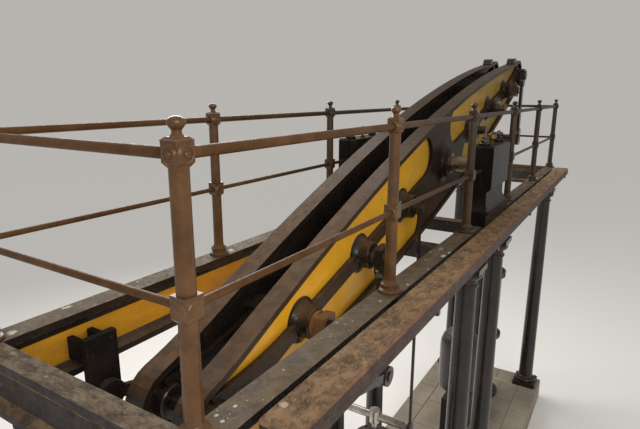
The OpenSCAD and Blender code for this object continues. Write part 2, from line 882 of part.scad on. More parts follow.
// Pump barrel with flanges and bands
pump_lip = 65;
foot_lip = 95;
module pump_barrel() {
  out_r = pump_bore + pump_wall;
  lip_r = out_r + pump_lip;
  h = cyl_top - bed_h;
  color(iron)
    translate([0, pump_pin[0], bed_h])
      rotate_extrude()
        polygon([
          [0, 0], [out_r + foot_lip, 0], [out_r + foot_lip, cyl_flange_t],
          [out_r + 20, cyl_flange_t + 14],
          [out_r, cyl_flange_t + 70], [out_r, h / 2 - 40], [lip_r, h / 2 - 30], [lip_r, h / 2 + 30],
          [out_r, h / 2 + 40], [out_r, h - cyl_flange_t - 26], [lip_r, h - cyl_flange_t],
          [lip_r, h], [pump_bore, h], [pump_bore, cyl_flange_t], [0, cyl_flange_t]
        ]);
}

module pump_cover() {
  color(iron)
    translate([0, pump_pin[0], cyl_top])
      rod_cover(pump_bore + pump_wall + pump_lip, pump_rod_r, pump_bore);
}

module pump_crosshead() {
  half_x = link_x - side_gap;
  color(iron)
    difference() {
      cross_block(pump_head_pt, half_x, motion_pin_r, 2 * pump_rod_r, head_h - 20);
      translate([0, pump_head_pt[0], pump_head_pt[1] - head_h / 2])
        cylinder(r = pump_rod_r + run_fit, h = head_h / 2 + socket_top);
    }
}

// Pump rod with its plunger, at the top of the barrel while the steam end is down
module pump_rod() {
  z0 = piston_base + lift;
  color(steel)
    translate([0, pump_pin[0], 0]) {
      translate([0, 0, z0 + piston_t - eps])
        cylinder(r = pump_rod_r, h = pump_head_pt[1] + socket_top - seat_gap - z0 - piston_t + eps);
      translate([0, 0, z0])
        cylinder(r = pump_bore - 1, h = piston_t);
    }
}

// Valve chest between the pump barrel and the air vessel
vessel_y = pump_pin[0] - vessel_reach;
lid_r = 170;
lid_h = 104;
module valve_chest() {
  y0 = vessel_y - valve_w / 2;
  y1 = pump_pin[0];
  color(iron)
    difference() {
      union() {
        translate([-valve_w / 2, y0, bed_h])
          cube([valve_w, y1 - y0, valve_h]);
        for (part = [0.31, 0.55])
          translate([0, vessel_y + vessel_reach * part, bed_h + valve_h - eps])
            rotate_extrude()
              polygon([
                [0, 0], [lid_r, 0], [lid_r, 34 + eps], [lid_r - 20, 60], [lid_r - 80, 92], [0, lid_h]
              ]);
      }
      translate([0, pump_pin[0], bed_h - eps])
        cylinder(r = pump_bore + pump_wall + foot_lip + 1 + seat_gap, h = cyl_flange_t + 16 + 2 * eps);
      translate([0, pump_pin[0], bed_h + cyl_flange_t + 15])
        cylinder(r = pump_bore + pump_wall + 21, h = valve_h + 2 * eps);
    }
}

// Air vessel: a tall dome on a flanged neck
neck_half = 130;
neck_h = 130;
module air_vessel() {
  z0 = bed_h + valve_h;
  shoulder = 200;
  color(iron)
    translate([0, vessel_y, z0])
      rotate_extrude()
        polygon(concat(
          [[0, 0], [neck_half + 70, 0], [neck_half + 70, 40], [neck_half, 60], [neck_half, neck_h]],
          [for (i = [1:6]) let (a = -90 + i * 15)
            [neck_half + (vessel_r - neck_half) * cos(a), neck_h + shoulder + shoulder * sin(a)]],
          [[vessel_r, vessel_h - vessel_r]],
          [for (i = [1:5]) let (a = i * 15) [vessel_r * cos(a), vessel_h - vessel_r + vessel_r * sin(a)]],
          [[60, vessel_h + 2], [60, vessel_h + 40], [35, vessel_h + 60], [0, vessel_h + 60]]
        ));
}

// Dressed stone bed under the whole engine, with a chamfered top edge
module stone_bed() {
  w = 2 * girder_x + plinth_w + 2 * bed_margin;
  l = 2 * end_col_y + plinth_w + 2 * bed_margin;
  c = 30;
  color(stone)
    translate([0, rail_shift, 0])
      intersection() {
        across(-w / 2, w / 2)
          polygon(both_edges([[l / 2, 0], [l / 2, bed_h - c], [l / 2 - c, bed_h]]));
        translate([0, l / 2 + eps, 0])
          rotate([90, 0, 0])
            linear_extrude(l + 2 * eps)
              polygon(both_edges([[w / 2, 0], [w / 2, bed_h - c], [w / 2 - c, bed_h]]));
      }
}

// One tapered column with a square plinth, round mouldings and a square cap
module column(h) {
  plinth_h = 90;
  abacus_h = 60;
  r = column_r;
  n = neck_r;
  translate([-plinth_w / 2, -plinth_w / 2, 0])
    cube([plinth_w, plinth_w, plinth_h]);
  translate([0, 0, plinth_h - eps])
    rotate_extrude()
      polygon(concat(
        [[0, 0], [r + 62, 0]],
        [for (i = [0:8]) let (a = -90 + i * 22.5) [r + 38 + 30 * cos(a), 31 + 30 * sin(a)]],
        [[r + 24, 64], [r + 24, 84], [r, 110], [r, 160], [n, h - 330], [n + 16, h - 320],
          [n + 16, h - 300], [n, h - 290], [n, h - 240]],
        [for (i = [0:6]) let (a = -90 + i * 15) [n + 52 * cos(a), h - 188 + 52 * sin(a)]],
        [[n + 52, h - plinth_h - abacus_h + 2 * eps], [0, h - plinth_h - abacus_h + 2 * eps]]
      ));
  translate([-abacus_w / 2, -abacus_w / 2, h - abacus_h])
    cube([abacus_w, abacus_w, abacus_h]);
}

module columns() {
  color(iron)
    for (x = [-girder_x, girder_x])
      for (y = [rail_shift - end_col_y, -mid_col_y, mid_col_y, rail_shift + end_col_y])
        translate([x, y, bed_h])
          column(column_top - bed_h);
}

// Section of a girder, drawn with its top at zero
module girder_section(w_top, depth, w_bottom) {
  polygon([
    [-w_top / 2, 0], [-w_top / 2, -top_t], [-mould_w / 2, -top_t - 6],
    [-girder_web / 2 - 6, -top_t - mould_h], [-girder_web / 2, -top_t - mould_h - 8],
    [-girder_web / 2, bottom_t + 34 - depth], [-mould_w / 2, bottom_t + 8 - depth],
    [-w_bottom / 2, bottom_t - depth], [-w_bottom / 2, -depth],
    [w_bottom / 2, -depth], [w_bottom / 2, bottom_t - depth], [mould_w / 2, bottom_t + 8 - depth],
    [girder_web / 2, bottom_t + 34 - depth], [girder_web / 2, -top_t - mould_h - 8],
    [girder_web / 2 + 6, -top_t - mould_h], [mould_w / 2, -top_t - 6],
    [w_top / 2, -top_t], [w_top / 2, 0]
  ]);
}

module girder() {
  color(ochre)
    translate([girder_x, rail_shift + girder_half, floor_z])
      rotate([90, 0, 0])
        linear_extrude(2 * girder_half)
          girder_section(top_w, girder_d, bottom_w);
}

module girder_right() {
  girder();
}

module girder_left() {
  mirror([1, 0, 0])
    girder();
}

// Cross girders at both ends and low tie beams at the middle columns
module cross_girders() {
  half_x = girder_x - top_w / 2;
  low_half_x = girder_x - bottom_w / 2;
  color(dusty) {
    for (s = [-1, 1])
      translate([-half_x, rail_shift + s * (rail_half + cross_w / 4), floor_z])
        rotate([90, 0, 90])
          linear_extrude(2 * half_x)
            girder_section(cross_w, girder_d - bottom_t - 10, cross_w);
    for (s = [-1, 1])
      translate([-low_half_x, s * mid_col_y - 80, column_top])
        cube([2 * low_half_x, 160, tie_d]);
  }
}

// Worn edge beam beside the right girder, with round corners
edge_start = 220;
module edge_beam() {
  y0 = rail_shift + edge_start - rail_half;
  y1 = rail_shift + rail_half;
  color(dusty)
    translate([edge_x + edge_w / 2, (y0 + y1) / 2, floor_z - edge_t])
      linear_extrude(edge_t)
        rounded(edge_w, y1 - y0, edge_r);
}

// Cast brackets from the right girder's web that carry the edge beam
bracket_w = 44;
module edge_brackets() {
  x0 = girder_x + girder_web / 2;
  x1 = edge_x + edge_w - 14;
  z1 = floor_z - max(edge_t, top_t + mould_h + 8);
  z0 = floor_z - girder_d + bottom_t + 40;
  color(iron)
    for (i = [0:bays])
      translate([0, rail_shift + (i - bays / 2) * (bay - 2 * bracket_w) + bracket_w / 2, 0])
        rotate([90, 0, 0])
          linear_extrude(bracket_w)
            polygon(concat(
              [[edge_x + 4, z1], [x0, z1], [x0, z0]],
              [for (j = [0:6]) let (a = j * 15)
                [x1 - (x1 - x0 - 40) * cos(a), z0 + 20 + (z1 - z0 - 60) * sin(a)]],
              [[x1, floor_z - edge_t], [edge_x + 4, floor_z - edge_t]]
            ));
}

// Pedestal under each journal, up to the centre of the gudgeon: a plinth, a foot that flares
// on all four sides, a narrow body and a wider block that holds the bearing
skirt_out = 22;
skirt_t = 12;
skirt_h = 130;
block_drop = 200;
nosing_rib_w = 26;
nosing_rib_t = 12;
skirt_steps = 6;
// Foot of the body in one view: from the skirt's edge at half width a up to half width b
function skirt(a, b) = concat(
  [[a, plinth_t], [a, plinth_t + skirt_t]],
  [for (i = [0:skirt_steps]) let (t = i * 90 / skirt_steps)
    [b + (a - b - 8) * (1 - sin(t)), plinth_t + skirt_t + skirt_h * (1 - cos(t))]]
);

// Side view of a pedestal whose body has the half length l
module pedestal_side(l) {
  polygon(both_edges(concat(
    [[foot_half, 0], [foot_half, plinth_t]],
    skirt(foot_half - skirt_out, l),
    [[l, gudgeon_rise - seat_gap]]
  )));
}

// The view along the engine
module pedestal_front() {
  block_z = gudgeon_rise - block_drop;
  polygon(both_edges(concat(
    [[pedestal_w / 2, 0], [pedestal_w / 2, plinth_t]],
    skirt(pedestal_w / 2 + skirt_out, waist_w / 2),
    [[waist_w / 2, block_z - 40], [pedestal_w / 2, block_z], [pedestal_w / 2, gudgeon_rise - seat_gap]]
  )));
}

// The seat of a bearing's brasses, closed on the outside
module brass_seat() {
  translate([0, 0, gudgeon_z])
    bar_x(brass_r + seat_gap, girder_x - pedestal_w, girder_x + pedestal_w / 2 - cover_t);
}

module pedestals() {
  color(iron)
    both_sides()
      difference() {
        translate([0, 0, floor_z]) {
          intersection() {
            across(girder_x - pedestal_w, girder_x + pedestal_w)
              pedestal_side(pedestal_half - nosing_rib_t);
            translate([girder_x, foot_half + eps, 0])
              rotate([90, 0, 0])
                linear_extrude(2 * foot_half + 2 * eps)
                  pedestal_front();
          }
          across(girder_x - nosing_rib_w / 2, girder_x + nosing_rib_w / 2)
            pedestal_side(pedestal_half);
        }
        brass_seat();
      }
}

// Cap over each journal: a plain block with bevelled edges, a rib up each end and stud bosses
cap_bevel = 22;
stud_in = 95;
module pedestal_caps() {
  color(iron)
    both_sides()
      difference() {
        translate([0, 0, gudgeon_z]) {
          across(girder_x - pedestal_w / 2, girder_x + pedestal_w / 2)
            cap_side(pedestal_half - nosing_rib_t);
          across(girder_x - nosing_rib_w / 2, girder_x + nosing_rib_w / 2)
            cap_side(pedestal_half);
          for (s = [-1, 1])
            translate([girder_x, s * (pedestal_half - stud_in), cap_rise - eps])
              cylinder(r = 62, h = 20);
        }
        brass_seat();
      }
}

module cap_side(l) {
  polygon(both_edges([[l, 0], [l, cap_rise - cap_bevel], [l - cap_bevel, cap_rise]]));
}

// Split brasses round each journal, with a flange on the inner face
brass_flange_t = 12;
module bearing_brasses() {
  x0 = girder_x - pedestal_w / 2 - seat_gap;
  x1 = girder_x + pedestal_w / 2 - cover_t - seat_gap;
  color(brass)
    translate([0, 0, gudgeon_z])
      both_sides()
        difference() {
          union() {
            bar_x(brass_r, x0 - brass_flange_t, x1);
            bar_x(brass_r + 18, x0 - brass_flange_t, x0);
          }
          bar_x(journal_r + run_fit, x0 - 2 * brass_flange_t, x1 + eps);
          translate([x0 - 2 * brass_flange_t, -2 * brass_r, -seat_gap])
            cube([pedestal_w + 2 * brass_flange_t, 4 * brass_r, 2 * seat_gap]);
        }
}

// Oil cup on each cap
cup_r = 44;
cup_h = 138;
module oil_cups() {
  color(brass)
    for (x = [-girder_x, girder_x])
      translate([x, 0, gudgeon_z + cap_rise])
        rotate_extrude()
          polygon([
            [0, 0], [cup_r - 10, 0], [cup_r - 10, 12], [16, 18], [16, 36], [cup_r - 4, 48], [cup_r, 60],
            [cup_r, cup_h - 42], [cup_r - 6, cup_h - 34], [20, cup_h - 26], [12, cup_h - 16],
            [12, cup_h - 4], [0, cup_h]
          ]);
}

// One cast post with a moulded foot, two square rail blocks and a flattened ball
foot_r = 82;
neck_r_top = 18;
block_h = 96;
low_block_h = 112;
ball_drop = 0.7;
function post_r_at(z) = post_r + (post_top_r - post_r) * z / rail_z;
module post() {
  neck_z = rail_z + block_h / 2 + 12;
  ball_z = neck_z + 24 + ball_drop * ball_r;
  rotate_extrude()
    polygon(concat(
      [[0, 0], [foot_r, 0], [foot_r, 14], [foot_r - 6, 22], [foot_r - 20, 30], [foot_r - 22, 44]],
      [[foot_r - 16, 50], [foot_r - 16, 62], [foot_r - 28, 72]],
      [[post_r_at(90), 90], [post_r_at(rail_z), rail_z], [26, rail_z], [26, neck_z]],
      [[neck_r_top, neck_z + 12], [neck_r_top, neck_z + 22]],
      [for (i = [1:8]) let (a = -54 + i * 18) [ball_r * cos(a), ball_z + ball_drop * ball_r * sin(a)]]
    ));
  rail_block(low_rail_z, low_block_half, low_block_h);
  rail_block(rail_z, block_half, block_h);
  translate([0, 0, rail_z + block_h / 2 - eps])
    square_step(block_half + 3, neck_r_top + 10, 12 + eps);
}

// A square block on a post, bevelled down to the shaft, with a round seat on each face
block_bevel = 18;
module rail_block(z, half, h) {
  reach = half + seat_reach;
  seat_r = half - 2;
  translate([0, 0, z - h / 2 + block_bevel])
    square_step(half, half, h - block_bevel);
  translate([0, 0, z - h / 2])
    square_step(half - 14, half, block_bevel + eps);
  for (a = [0, 90])
    translate([0, 0, z])
      rotate([0, 0, a])
        turned_x([
          [0, -reach], [seat_r - 6, -reach], [seat_r, 6 - reach], [seat_r, reach - 6],
          [seat_r - 6, reach], [0, reach]
        ]);
}

// A square step whose half side runs from a at the bottom to b at the top
module square_step(a, b, h) {
  rotate([0, 0, 45])
    cylinder(r1 = a * sqrt(2), r2 = b * sqrt(2), h = h, $fn = 4);
}

// Where the railing's post number i stands along the engine
function post_y(i) = rail_shift + (i - bays / 2) * bay;

module post_row(x) {
  color(brown)
    for (i = [0:bays])
      translate([x, post_y(i), floor_z])
        post();
}

module posts_right() {
  post_row(girder_x);
}

module posts_left() {
  post_row(-girder_x);
}

// A rail tube between two points
module tube_y(x, z, r, y0, y1) {
  translate([x, y0, z])
    rotate([-90, 0, 0])
      cylinder(r = r, h = y1 - y0);
}

module top_rails() {
  z = floor_z + rail_z;
  reach = block_half + seat_reach;
  color(brown) {
    for (x = [-girder_x, girder_x])
      for (i = [0:bays - 1])
        tube_y(x, z, rail_r, post_y(i) + reach, post_y(i + 1) - reach);
    for (y = [post_y(0), post_y(bays)])
      translate([0, y, z])
        bar_x(rail_r, reach - girder_x, girder_x - reach);
  }
}

// The lower rails stop at the pedestals in the middle bay
module lower_rails() {
  z = floor_z + low_rail_z;
  reach = low_block_half + seat_reach;
  mid = (bays - 1) / 2;
  color(brown) {
    for (x = [-girder_x, girder_x])
      for (i = [0:bays - 1]) {
        y0 = post_y(i) + reach;
        y1 = post_y(i + 1) - reach;
        if (i == mid) {
          tube_y(x, z, low_rail_r, y0, -pedestal_half);
          tube_y(x, z, low_rail_r, pedestal_half, y1);
        } else
          tube_y(x, z, low_rail_r, y0, y1);
      }
    for (y = [post_y(0), post_y(bays)])
      translate([0, y, z])
        bar_x(low_rail_r, reach - girder_x, girder_x - reach);
  }
}

stone_bed();
columns();
girder_left();
girder_right();
cross_girders();
edge_beam();
edge_brackets();
pedestals();
pedestal_caps();
bearing_brasses();
oil_cups();
posts_left();
posts_right();
top_rails();
lower_rails();
radius_brackets();
steam_cylinder();
cylinder_cover();
steam_chest();
exhaust_pipe();
condenser();
air_pump_barrel();
pump_barrel();
pump_cover();
valve_chest();
air_vessel();
cheek_left();
cheek_right();
gudgeon();
beam_pins();
pin_nuts();
distance_pieces();
end_lugs();
main_links();
back_links();
parallel_bars();
radius_rods();
crosshead();
piston_rod();
pump_links();
pump_crosshead();
pump_rod();
air_pump_links();
air_pump_crosshead();
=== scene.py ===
"""Looks of the beam engine: the finishes of its castings and the small hardware that they carry."""

import json
import math
import random

import bmesh
import bpy
from mathutils import Matrix, Vector


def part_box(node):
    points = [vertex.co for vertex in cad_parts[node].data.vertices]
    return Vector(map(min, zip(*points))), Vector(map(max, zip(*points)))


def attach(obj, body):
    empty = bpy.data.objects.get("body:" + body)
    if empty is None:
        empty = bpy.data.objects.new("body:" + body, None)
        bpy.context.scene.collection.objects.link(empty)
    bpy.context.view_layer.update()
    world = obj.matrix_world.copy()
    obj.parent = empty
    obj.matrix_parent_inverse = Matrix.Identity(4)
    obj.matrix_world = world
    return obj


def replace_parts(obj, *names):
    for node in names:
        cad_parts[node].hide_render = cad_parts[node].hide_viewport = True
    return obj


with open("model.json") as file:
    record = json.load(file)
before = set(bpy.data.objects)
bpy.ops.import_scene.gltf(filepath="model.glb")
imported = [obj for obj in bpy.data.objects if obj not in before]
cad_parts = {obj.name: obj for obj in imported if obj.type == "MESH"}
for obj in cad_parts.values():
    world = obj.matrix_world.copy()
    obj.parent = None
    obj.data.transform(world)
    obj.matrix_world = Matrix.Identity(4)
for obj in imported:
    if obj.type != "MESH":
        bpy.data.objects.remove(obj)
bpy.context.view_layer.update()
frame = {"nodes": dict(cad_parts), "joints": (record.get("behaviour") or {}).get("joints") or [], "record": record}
random.seed(7)


def joint_at(name):
    """Where a joint's axis lies at rest."""
    return Vector(next(j["pos_m"] for j in frame["joints"] if j["name"] == name))


def centre(node):
    """The middle of a node's box."""
    low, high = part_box(node)
    return (low + high) / 2


def divided(low, high, count):
    """The ends of equal steps from low to high."""
    return [low + (high - low) * i / count for i in range(count + 1)]


def even(low, high, pitch):
    """Evenly spaced places from low to high, about pitch apart."""
    return divided(low, high, max(1, round((high - low) / pitch)))


def spans(low, high, count):
    """Equal steps from low to high, as pairs of their ends."""
    ends = divided(low, high, count)
    return list(zip(ends, ends[1:]))


def ring_of(count, radius, start=0.0, skip=()):
    """Places on a circle, as (x, y) pairs; skip leaves out arcs, given as (middle, half) in radians."""
    for i in range(count):
        angle = start + 2 * math.pi * i / count
        if all(abs(math.remainder(angle - middle, 2 * math.pi)) > half for middle, half in skip):
            yield radius * math.cos(angle), radius * math.sin(angle)


def scaled(values, factor):
    """A colour or a place with each of its values times a factor."""
    return tuple(value * factor for value in values)


# Camera, solved from the railing in the photograph
CAMERA_AT = Vector((2.145, -5.796, 6.302))
CAMERA_YAW = math.radians(-31.683)
CAMERA_PITCH = math.radians(-13.359)
CAMERA_ROLL = math.radians(0.191)
FOCAL_PX = 504.83
PHOTO_WIDTH = 640
SENSOR_MM = 36

# Light and stage
FLOOR_COLOR = (0.86, 0.849, 0.827)
FLOOR_SIZE = 160
SOFT_LIGHT = (1.0, 0.98, 0.95, 1)
SOFT_STRENGTH = 0.55
BACKDROP = (0.473, 0.4575, 0.432, 1)

# Directions
UP = (0, 0, 1)
DOWN = (0, 0, -1)

# Places and sizes of the castings that the hardware is set out by, in metres
FLOOR_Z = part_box("girder_right")[1].z
GIRDER_X = sum(p.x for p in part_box("posts_right")) / 2
GIRDER_H = 0.4
GIRDER_FLANGE_T = 0.045
BED_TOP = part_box("stone_bed")[1].z
PLINTH_H = 0.09
PLINTH_HALF = 0.21
MIDDLE_COLUMN_Y = 0.62
CYLINDER_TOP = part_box("steam_cylinder")[1].z
FLANGE_T = 0.05
GLAND_H = 0.15
GUDGEON = joint_at("beam_rock")
TILT = math.radians(16)
CHEEK_X = 0.197
WEB_HALF = 0.023
HUB_FACE = 0.355
OUTER_PIN = 3.06
OUTER_PIN_END = 0.473
LINK_L = 1.1
POST_PITCH = 1.88
POST_FOOT_HALF = 0.082
STEAM_Y = centre("steam_cylinder").y
PUMP_Y = centre("pump_barrel").y
AIR_Y = centre("air_pump_barrel").y
VESSEL_Y = centre("air_vessel").y
UPPER_RAIL_Z = centre("top_rails").z
COLUMN_YS = (
    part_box("columns")[0].y + PLINTH_HALF, -MIDDLE_COLUMN_Y,
    MIDDLE_COLUMN_Y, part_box("columns")[1].y - PLINTH_HALF)
POST_YS = even(
    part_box("posts_right")[0].y + POST_FOOT_HALF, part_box("posts_right")[1].y - POST_FOOT_HALF,
    POST_PITCH)

# How far hardware sinks into what it sits on
TOUCH = 0.0005


class Tree:
    """Short calls for one material's nodes."""

    def __init__(self, name):
        self.material = bpy.data.materials.new(name)
        self.material.use_nodes = True
        self.nodes = self.material.node_tree.nodes
        self.links = self.material.node_tree.links
        self.shader = self.nodes["Principled BSDF"]
        self.place = self.nodes.new("ShaderNodeTexCoord")

    def feed(self, socket, value):
        """Links an output to a socket, or writes a number or a colour on it."""
        if hasattr(value, "is_linked"):
            self.links.new(value, socket)
        elif isinstance(value, tuple) and len(value) == 3 and len(socket.default_value) == 4:
            socket.default_value = (*value, 1)
        else:
            socket.default_value = value

    def math(self, kind, a, b=0.0, clamp=False):
        """One operation on two values."""
        node = self.nodes.new("ShaderNodeMath")
        node.operation = kind
        node.use_clamp = clamp
        self.feed(node.inputs[0], a)
        self.feed(node.inputs[1], b)
        return node.outputs[0]

    def product(self, *factors):
        """The product of several factors."""
        result = factors[0]
        for factor in factors[1:]:
            result = self.math("MULTIPLY", result, factor)
        return result

    def ramp(self, value, low, high, out_low=0.0, out_high=1.0):
        """A smooth step from out_low at low to out_high at high."""
        node = self.nodes.new("ShaderNodeMapRange")
        node.interpolation_type = "SMOOTHSTEP"
        for socket, number in zip(node.inputs[:5], (value, low, high, out_low, out_high)):
            self.feed(socket, number)
        return node.outputs[0]

    def mix(self, share, a, b, blend="MIX"):
        """Colour a, with b over it by a share."""
        node = self.nodes.new("ShaderNodeMix")
        node.data_type = "RGBA"
        node.blend_type = blend
        self.feed(node.inputs["Factor"], share)
        self.feed(node.inputs[6], a)
        self.feed(node.inputs[7], b)
        return node.outputs[2]

    def tinted(self, color, tint, share=1.0):
        """A colour multiplied by a tint, by a share."""
        return self.mix(share, color, tint, "MULTIPLY")

    def stretched(self, stretch):
        """The place in the frame, scaled along each axis."""
        mapping = self.nodes.new("ShaderNodeMapping")
        mapping.inputs["Scale"].default_value = stretch
        self.links.new(self.place.outputs["Object"], mapping.inputs["Vector"])
        return mapping.outputs[0]

    def noise(self, scale, detail, rough=0.55, stretch=(1, 1, 1), warp=0.0):
        """Fractal noise; scale counts its waves in a metre."""
        node = self.nodes.new("ShaderNodeTexNoise")
        node.inputs["Scale"].default_value = scale
        node.inputs["Detail"].default_value = detail
        node.inputs["Roughness"].default_value = rough
        node.inputs["Distortion"].default_value = warp
        self.links.new(self.stretched(stretch), node.inputs["Vector"])
        return node.outputs["Fac"]

    def cells(self, scale, stretch=(1, 1, 1)):
        """The distance from the nearest of scattered points."""
        node = self.nodes.new("ShaderNodeTexVoronoi")
        node.inputs["Scale"].default_value = scale
        self.links.new(self.stretched(stretch), node.inputs["Vector"])
        return node.outputs["Distance"]

    def ragged(self, stretch=(1, 1, 1)):
        """Wide cells with a frayed outline."""
        return self.math("ADD", self.cells(7, stretch), self.product(self.noise(48, 3), 0.3))

    def along(self, axis):
        """The place along one axis of the frame, in metres."""
        return self.part_of("Object", axis)

    def facing(self, axis):
        """How far the surface faces along one axis, from -1 to 1."""
        return self.part_of("Normal", axis)

    def part_of(self, output, axis):
        """One axis of the object's coordinates or of its normal."""
        node = self.nodes.new("ShaderNodeSeparateXYZ")
        self.links.new(self.place.outputs[output], node.inputs[0])
        return node.outputs["XYZ".index(axis)]

    def own(self):
        """A value of its own, from 0 to 1, for each separate body of a mesh."""
        return self.nodes.new("ShaderNodeNewGeometry").outputs["Random Per Island"]

    def edges(self, radius):
        """1 on sharp edges within radius of them, 0 on flat faces."""
        bevel = self.nodes.new("ShaderNodeBevel")
        bevel.samples = 4
        bevel.inputs["Radius"].default_value = radius
        geometry = self.nodes.new("ShaderNodeNewGeometry")
        dot = self.nodes.new("ShaderNodeVectorMath")
        dot.operation = "DOT_PRODUCT"
        self.links.new(bevel.outputs[0], dot.inputs[0])
        self.links.new(geometry.outputs["Normal"], dot.inputs[1])
        return self.ramp(dot.outputs["Value"], 0.995, 0.9)

    def corners(self, reach):
        """Painted shade mask: 1 in corners and under ledges, where shade falls, 0 on open faces."""
        node = self.nodes.new("ShaderNodeAmbientOcclusion")
        node.samples = 4
        node.inputs["Distance"].default_value = reach
        return self.ramp(node.outputs["AO"], 0.85, 0.35)

    def rougher(self, rough, matte):
        """A roughness raised by an amount."""
        return self.math("ADD", rough, matte, clamp=True) if matte else rough

    def bump(self, height, strength, distance):
        """Fine relief on the surface; distance is its depth in metres."""
        node = self.nodes.new("ShaderNodeBump")
        node.inputs["Strength"].default_value = strength
        node.inputs["Distance"].default_value = distance
        self.feed(node.inputs["Height"], height)
        self.links.new(node.outputs[0], self.shader.inputs["Normal"])

    def done(self, color, rough, metallic=0.0, coat=0.0, gloss=0.5):
        """Feeds the shader and returns the material."""
        self.feed(self.shader.inputs["Base Color"], color)
        self.feed(self.shader.inputs["Roughness"], rough)
        self.feed(self.shader.inputs["Metallic"], metallic)
        self.feed(self.shader.inputs["Specular IOR Level"], gloss)
        self.feed(self.shader.inputs["Coat Weight"], coat)
        self.shader.inputs["Coat Roughness"].default_value = 0.14
        return self.material


def paint_layers(t, base, shade, dust, dust_share, worn, wear):
    """Gloss paint on cast iron, with dust on it, wear on its edges and painted shade in its corners.

    Returns the colour, the roughness, the fine grain and the share of settled dust.
    """
    cloud = t.noise(3.1, 5, 0.6)
    fine = t.noise(38, 4, 0.6)
    color = t.mix(t.ramp(cloud, 0.35, 0.68), base, shade)
    grime = t.product(t.ramp(t.noise(11, 6, 0.7, warp=0.4), 0.42, 0.62), 0.3)
    color = t.mix(grime, color, scaled(base, 0.35))
    broad = t.ramp(t.noise(6.5, 6, 0.68), 0.25, 0.6, 0.6, 1.0)
    patchy = t.product(broad, t.ramp(fine, 0.3, 0.6, 0.8, 1.0))
    settled = t.product(dust_share, patchy)
    dusty = t.mix(t.ramp(t.noise(9, 6, 0.7, warp=0.5), 0.4, 0.62), dust, scaled(dust, 0.62))
    color = t.mix(settled, color, dusty)
    rubbed = t.product(t.edges(0.006), t.ramp(t.noise(21, 5, 0.7), 0.46, 0.6), wear)
    color = t.mix(rubbed, color, worn)
    # Painted shade: the colour darkens towards a third of the base in corners and under ledges.
    color = t.mix(t.product(t.corners(0.07), 0.75), color, scaled(base, 0.3))
    polish = t.ramp(fine, 0.3, 0.7, 0.24, 0.38)
    rough = t.math("ADD", polish, t.product(settled, 0.5), clamp=True)
    return color, rough, fine, settled


def cast_black(name, dust, tone=1.0, coat=0.35, gloss=0.3, matte=0.0):
    """Black-brown paint on the castings, with dust up to the share given where it faces up."""
    t = Tree(name)
    color, rough, fine, settled = paint_layers(
        t, base=scaled((0.014, 0.011, 0.01), tone), shade=scaled((0.026, 0.019, 0.016), tone),
        dust=(0.09, 0.068, 0.052), dust_share=t.ramp(t.facing("Z"), 0.3, 0.95, 0.0, dust),
        worn=(0.12, 0.08, 0.055), wear=0.55)
    t.bump(t.math("ADD", fine, t.noise(9, 3)), strength=0.14, distance=0.004)
    clean_coat = t.ramp(settled, 0.0, 0.3, coat, 0.0) if coat else 0.0
    return t.done(color, t.rougher(rough, matte), coat=clean_coat, gloss=gloss)


def beam_finish():
    """Yellow-ochre panels on the outer web faces, and dusty dark paint on all that stands proud; painted light
    brightens the steam end, and painted shade darkens the far end, the corners and the faces between the cheeks.
    """
    t = Tree("beam_finish")
    off = t.math("SUBTRACT", t.math("ABSOLUTE", t.along("X")), CHEEK_X)
    outward = t.ramp(t.math("ABSOLUTE", t.facing("X")), 0.9, 0.98)
    web_low = t.ramp(off, WEB_HALF - 0.004, WEB_HALF - 0.002)
    web_high = t.ramp(off, WEB_HALF + 0.003, WEB_HALF + 0.001)
    panel = t.product(outward, web_low, web_high)

    outer_side = t.ramp(off, -0.09, -0.075)
    face = t.product(outward, t.ramp(off, 0.058, 0.062), t.ramp(off, 0.09, 0.085))
    above = t.ramp(t.facing("Z"), 0.3, 0.85)
    # Painted shade: dust is kept off the occluded faces between the cheeks, so they stay dark.
    shade_between_cheeks = t.product(t.ramp(off, 0.0, -0.03), t.corners(0.3))
    clear_of_cheek_shade = t.math("SUBTRACT", 1.0, shade_between_cheeks, clamp=True)
    # Painted shade: the dust thins towards the far end, so the beam darkens there.
    far_end_shade = t.ramp(t.along("Y"), -2.8, -0.2, 0.96, 0.34)
    share = t.product(t.math("MAXIMUM", above, t.product(face, 0.42)), outer_side, clear_of_cheek_shade, far_end_shade)
    dark, rough, fine, settled = paint_layers(
        t, base=(0.013, 0.0095, 0.0075), shade=(0.024, 0.0165, 0.0115),
        dust=(0.142, 0.078, 0.036), dust_share=share, worn=(0.17, 0.12, 0.08), wear=0.6)

    # Painted light and shade: the ochre is lit bright orange at the steam end and shaded dull brown at the far
    # end.
    lit_near_shaded_far = t.ramp(t.along("Y"), -4.2, 2.6)
    bright = t.mix(lit_near_shaded_far, (0.98, 0.5, 0.02), (0.3, 0.19, 0.035))
    dull = t.mix(lit_near_shaded_far, (0.88, 0.44, 0.018), (0.2, 0.13, 0.03))
    streak = t.ramp(t.noise(5, 6, 0.7, stretch=(1, 0.5, 1.2), warp=0.3), 0.35, 0.7)
    yellow = t.mix(streak, bright, dull)
    stain = t.product(t.ramp(t.noise(16, 6, 0.75, warp=0.6), 0.58, 0.74), 0.26)
    yellow = t.mix(stain, yellow, (0.16, 0.095, 0.03))
    # Painted shade: the ochre darkens in corners and under the flanges and ribs.
    yellow = t.mix(t.product(t.corners(0.045), 0.55), yellow, (0.34, 0.18, 0.02))

    color = t.mix(panel, dark, yellow)
    rough = t.ramp(panel, 0.0, 1.0, rough, 0.42)
    t.bump(t.math("ADD", fine, t.noise(8, 4)), strength=0.16, distance=0.004)
    dulled = t.ramp(t.along("Y"), -2.4, 0.0, 1.0, 0.25)
    coat = t.product(t.ramp(settled, 0.0, 0.25, 0.34, 0.0), dulled)
    return t.done(color, rough, coat=coat, gloss=t.product(dulled, 0.27))


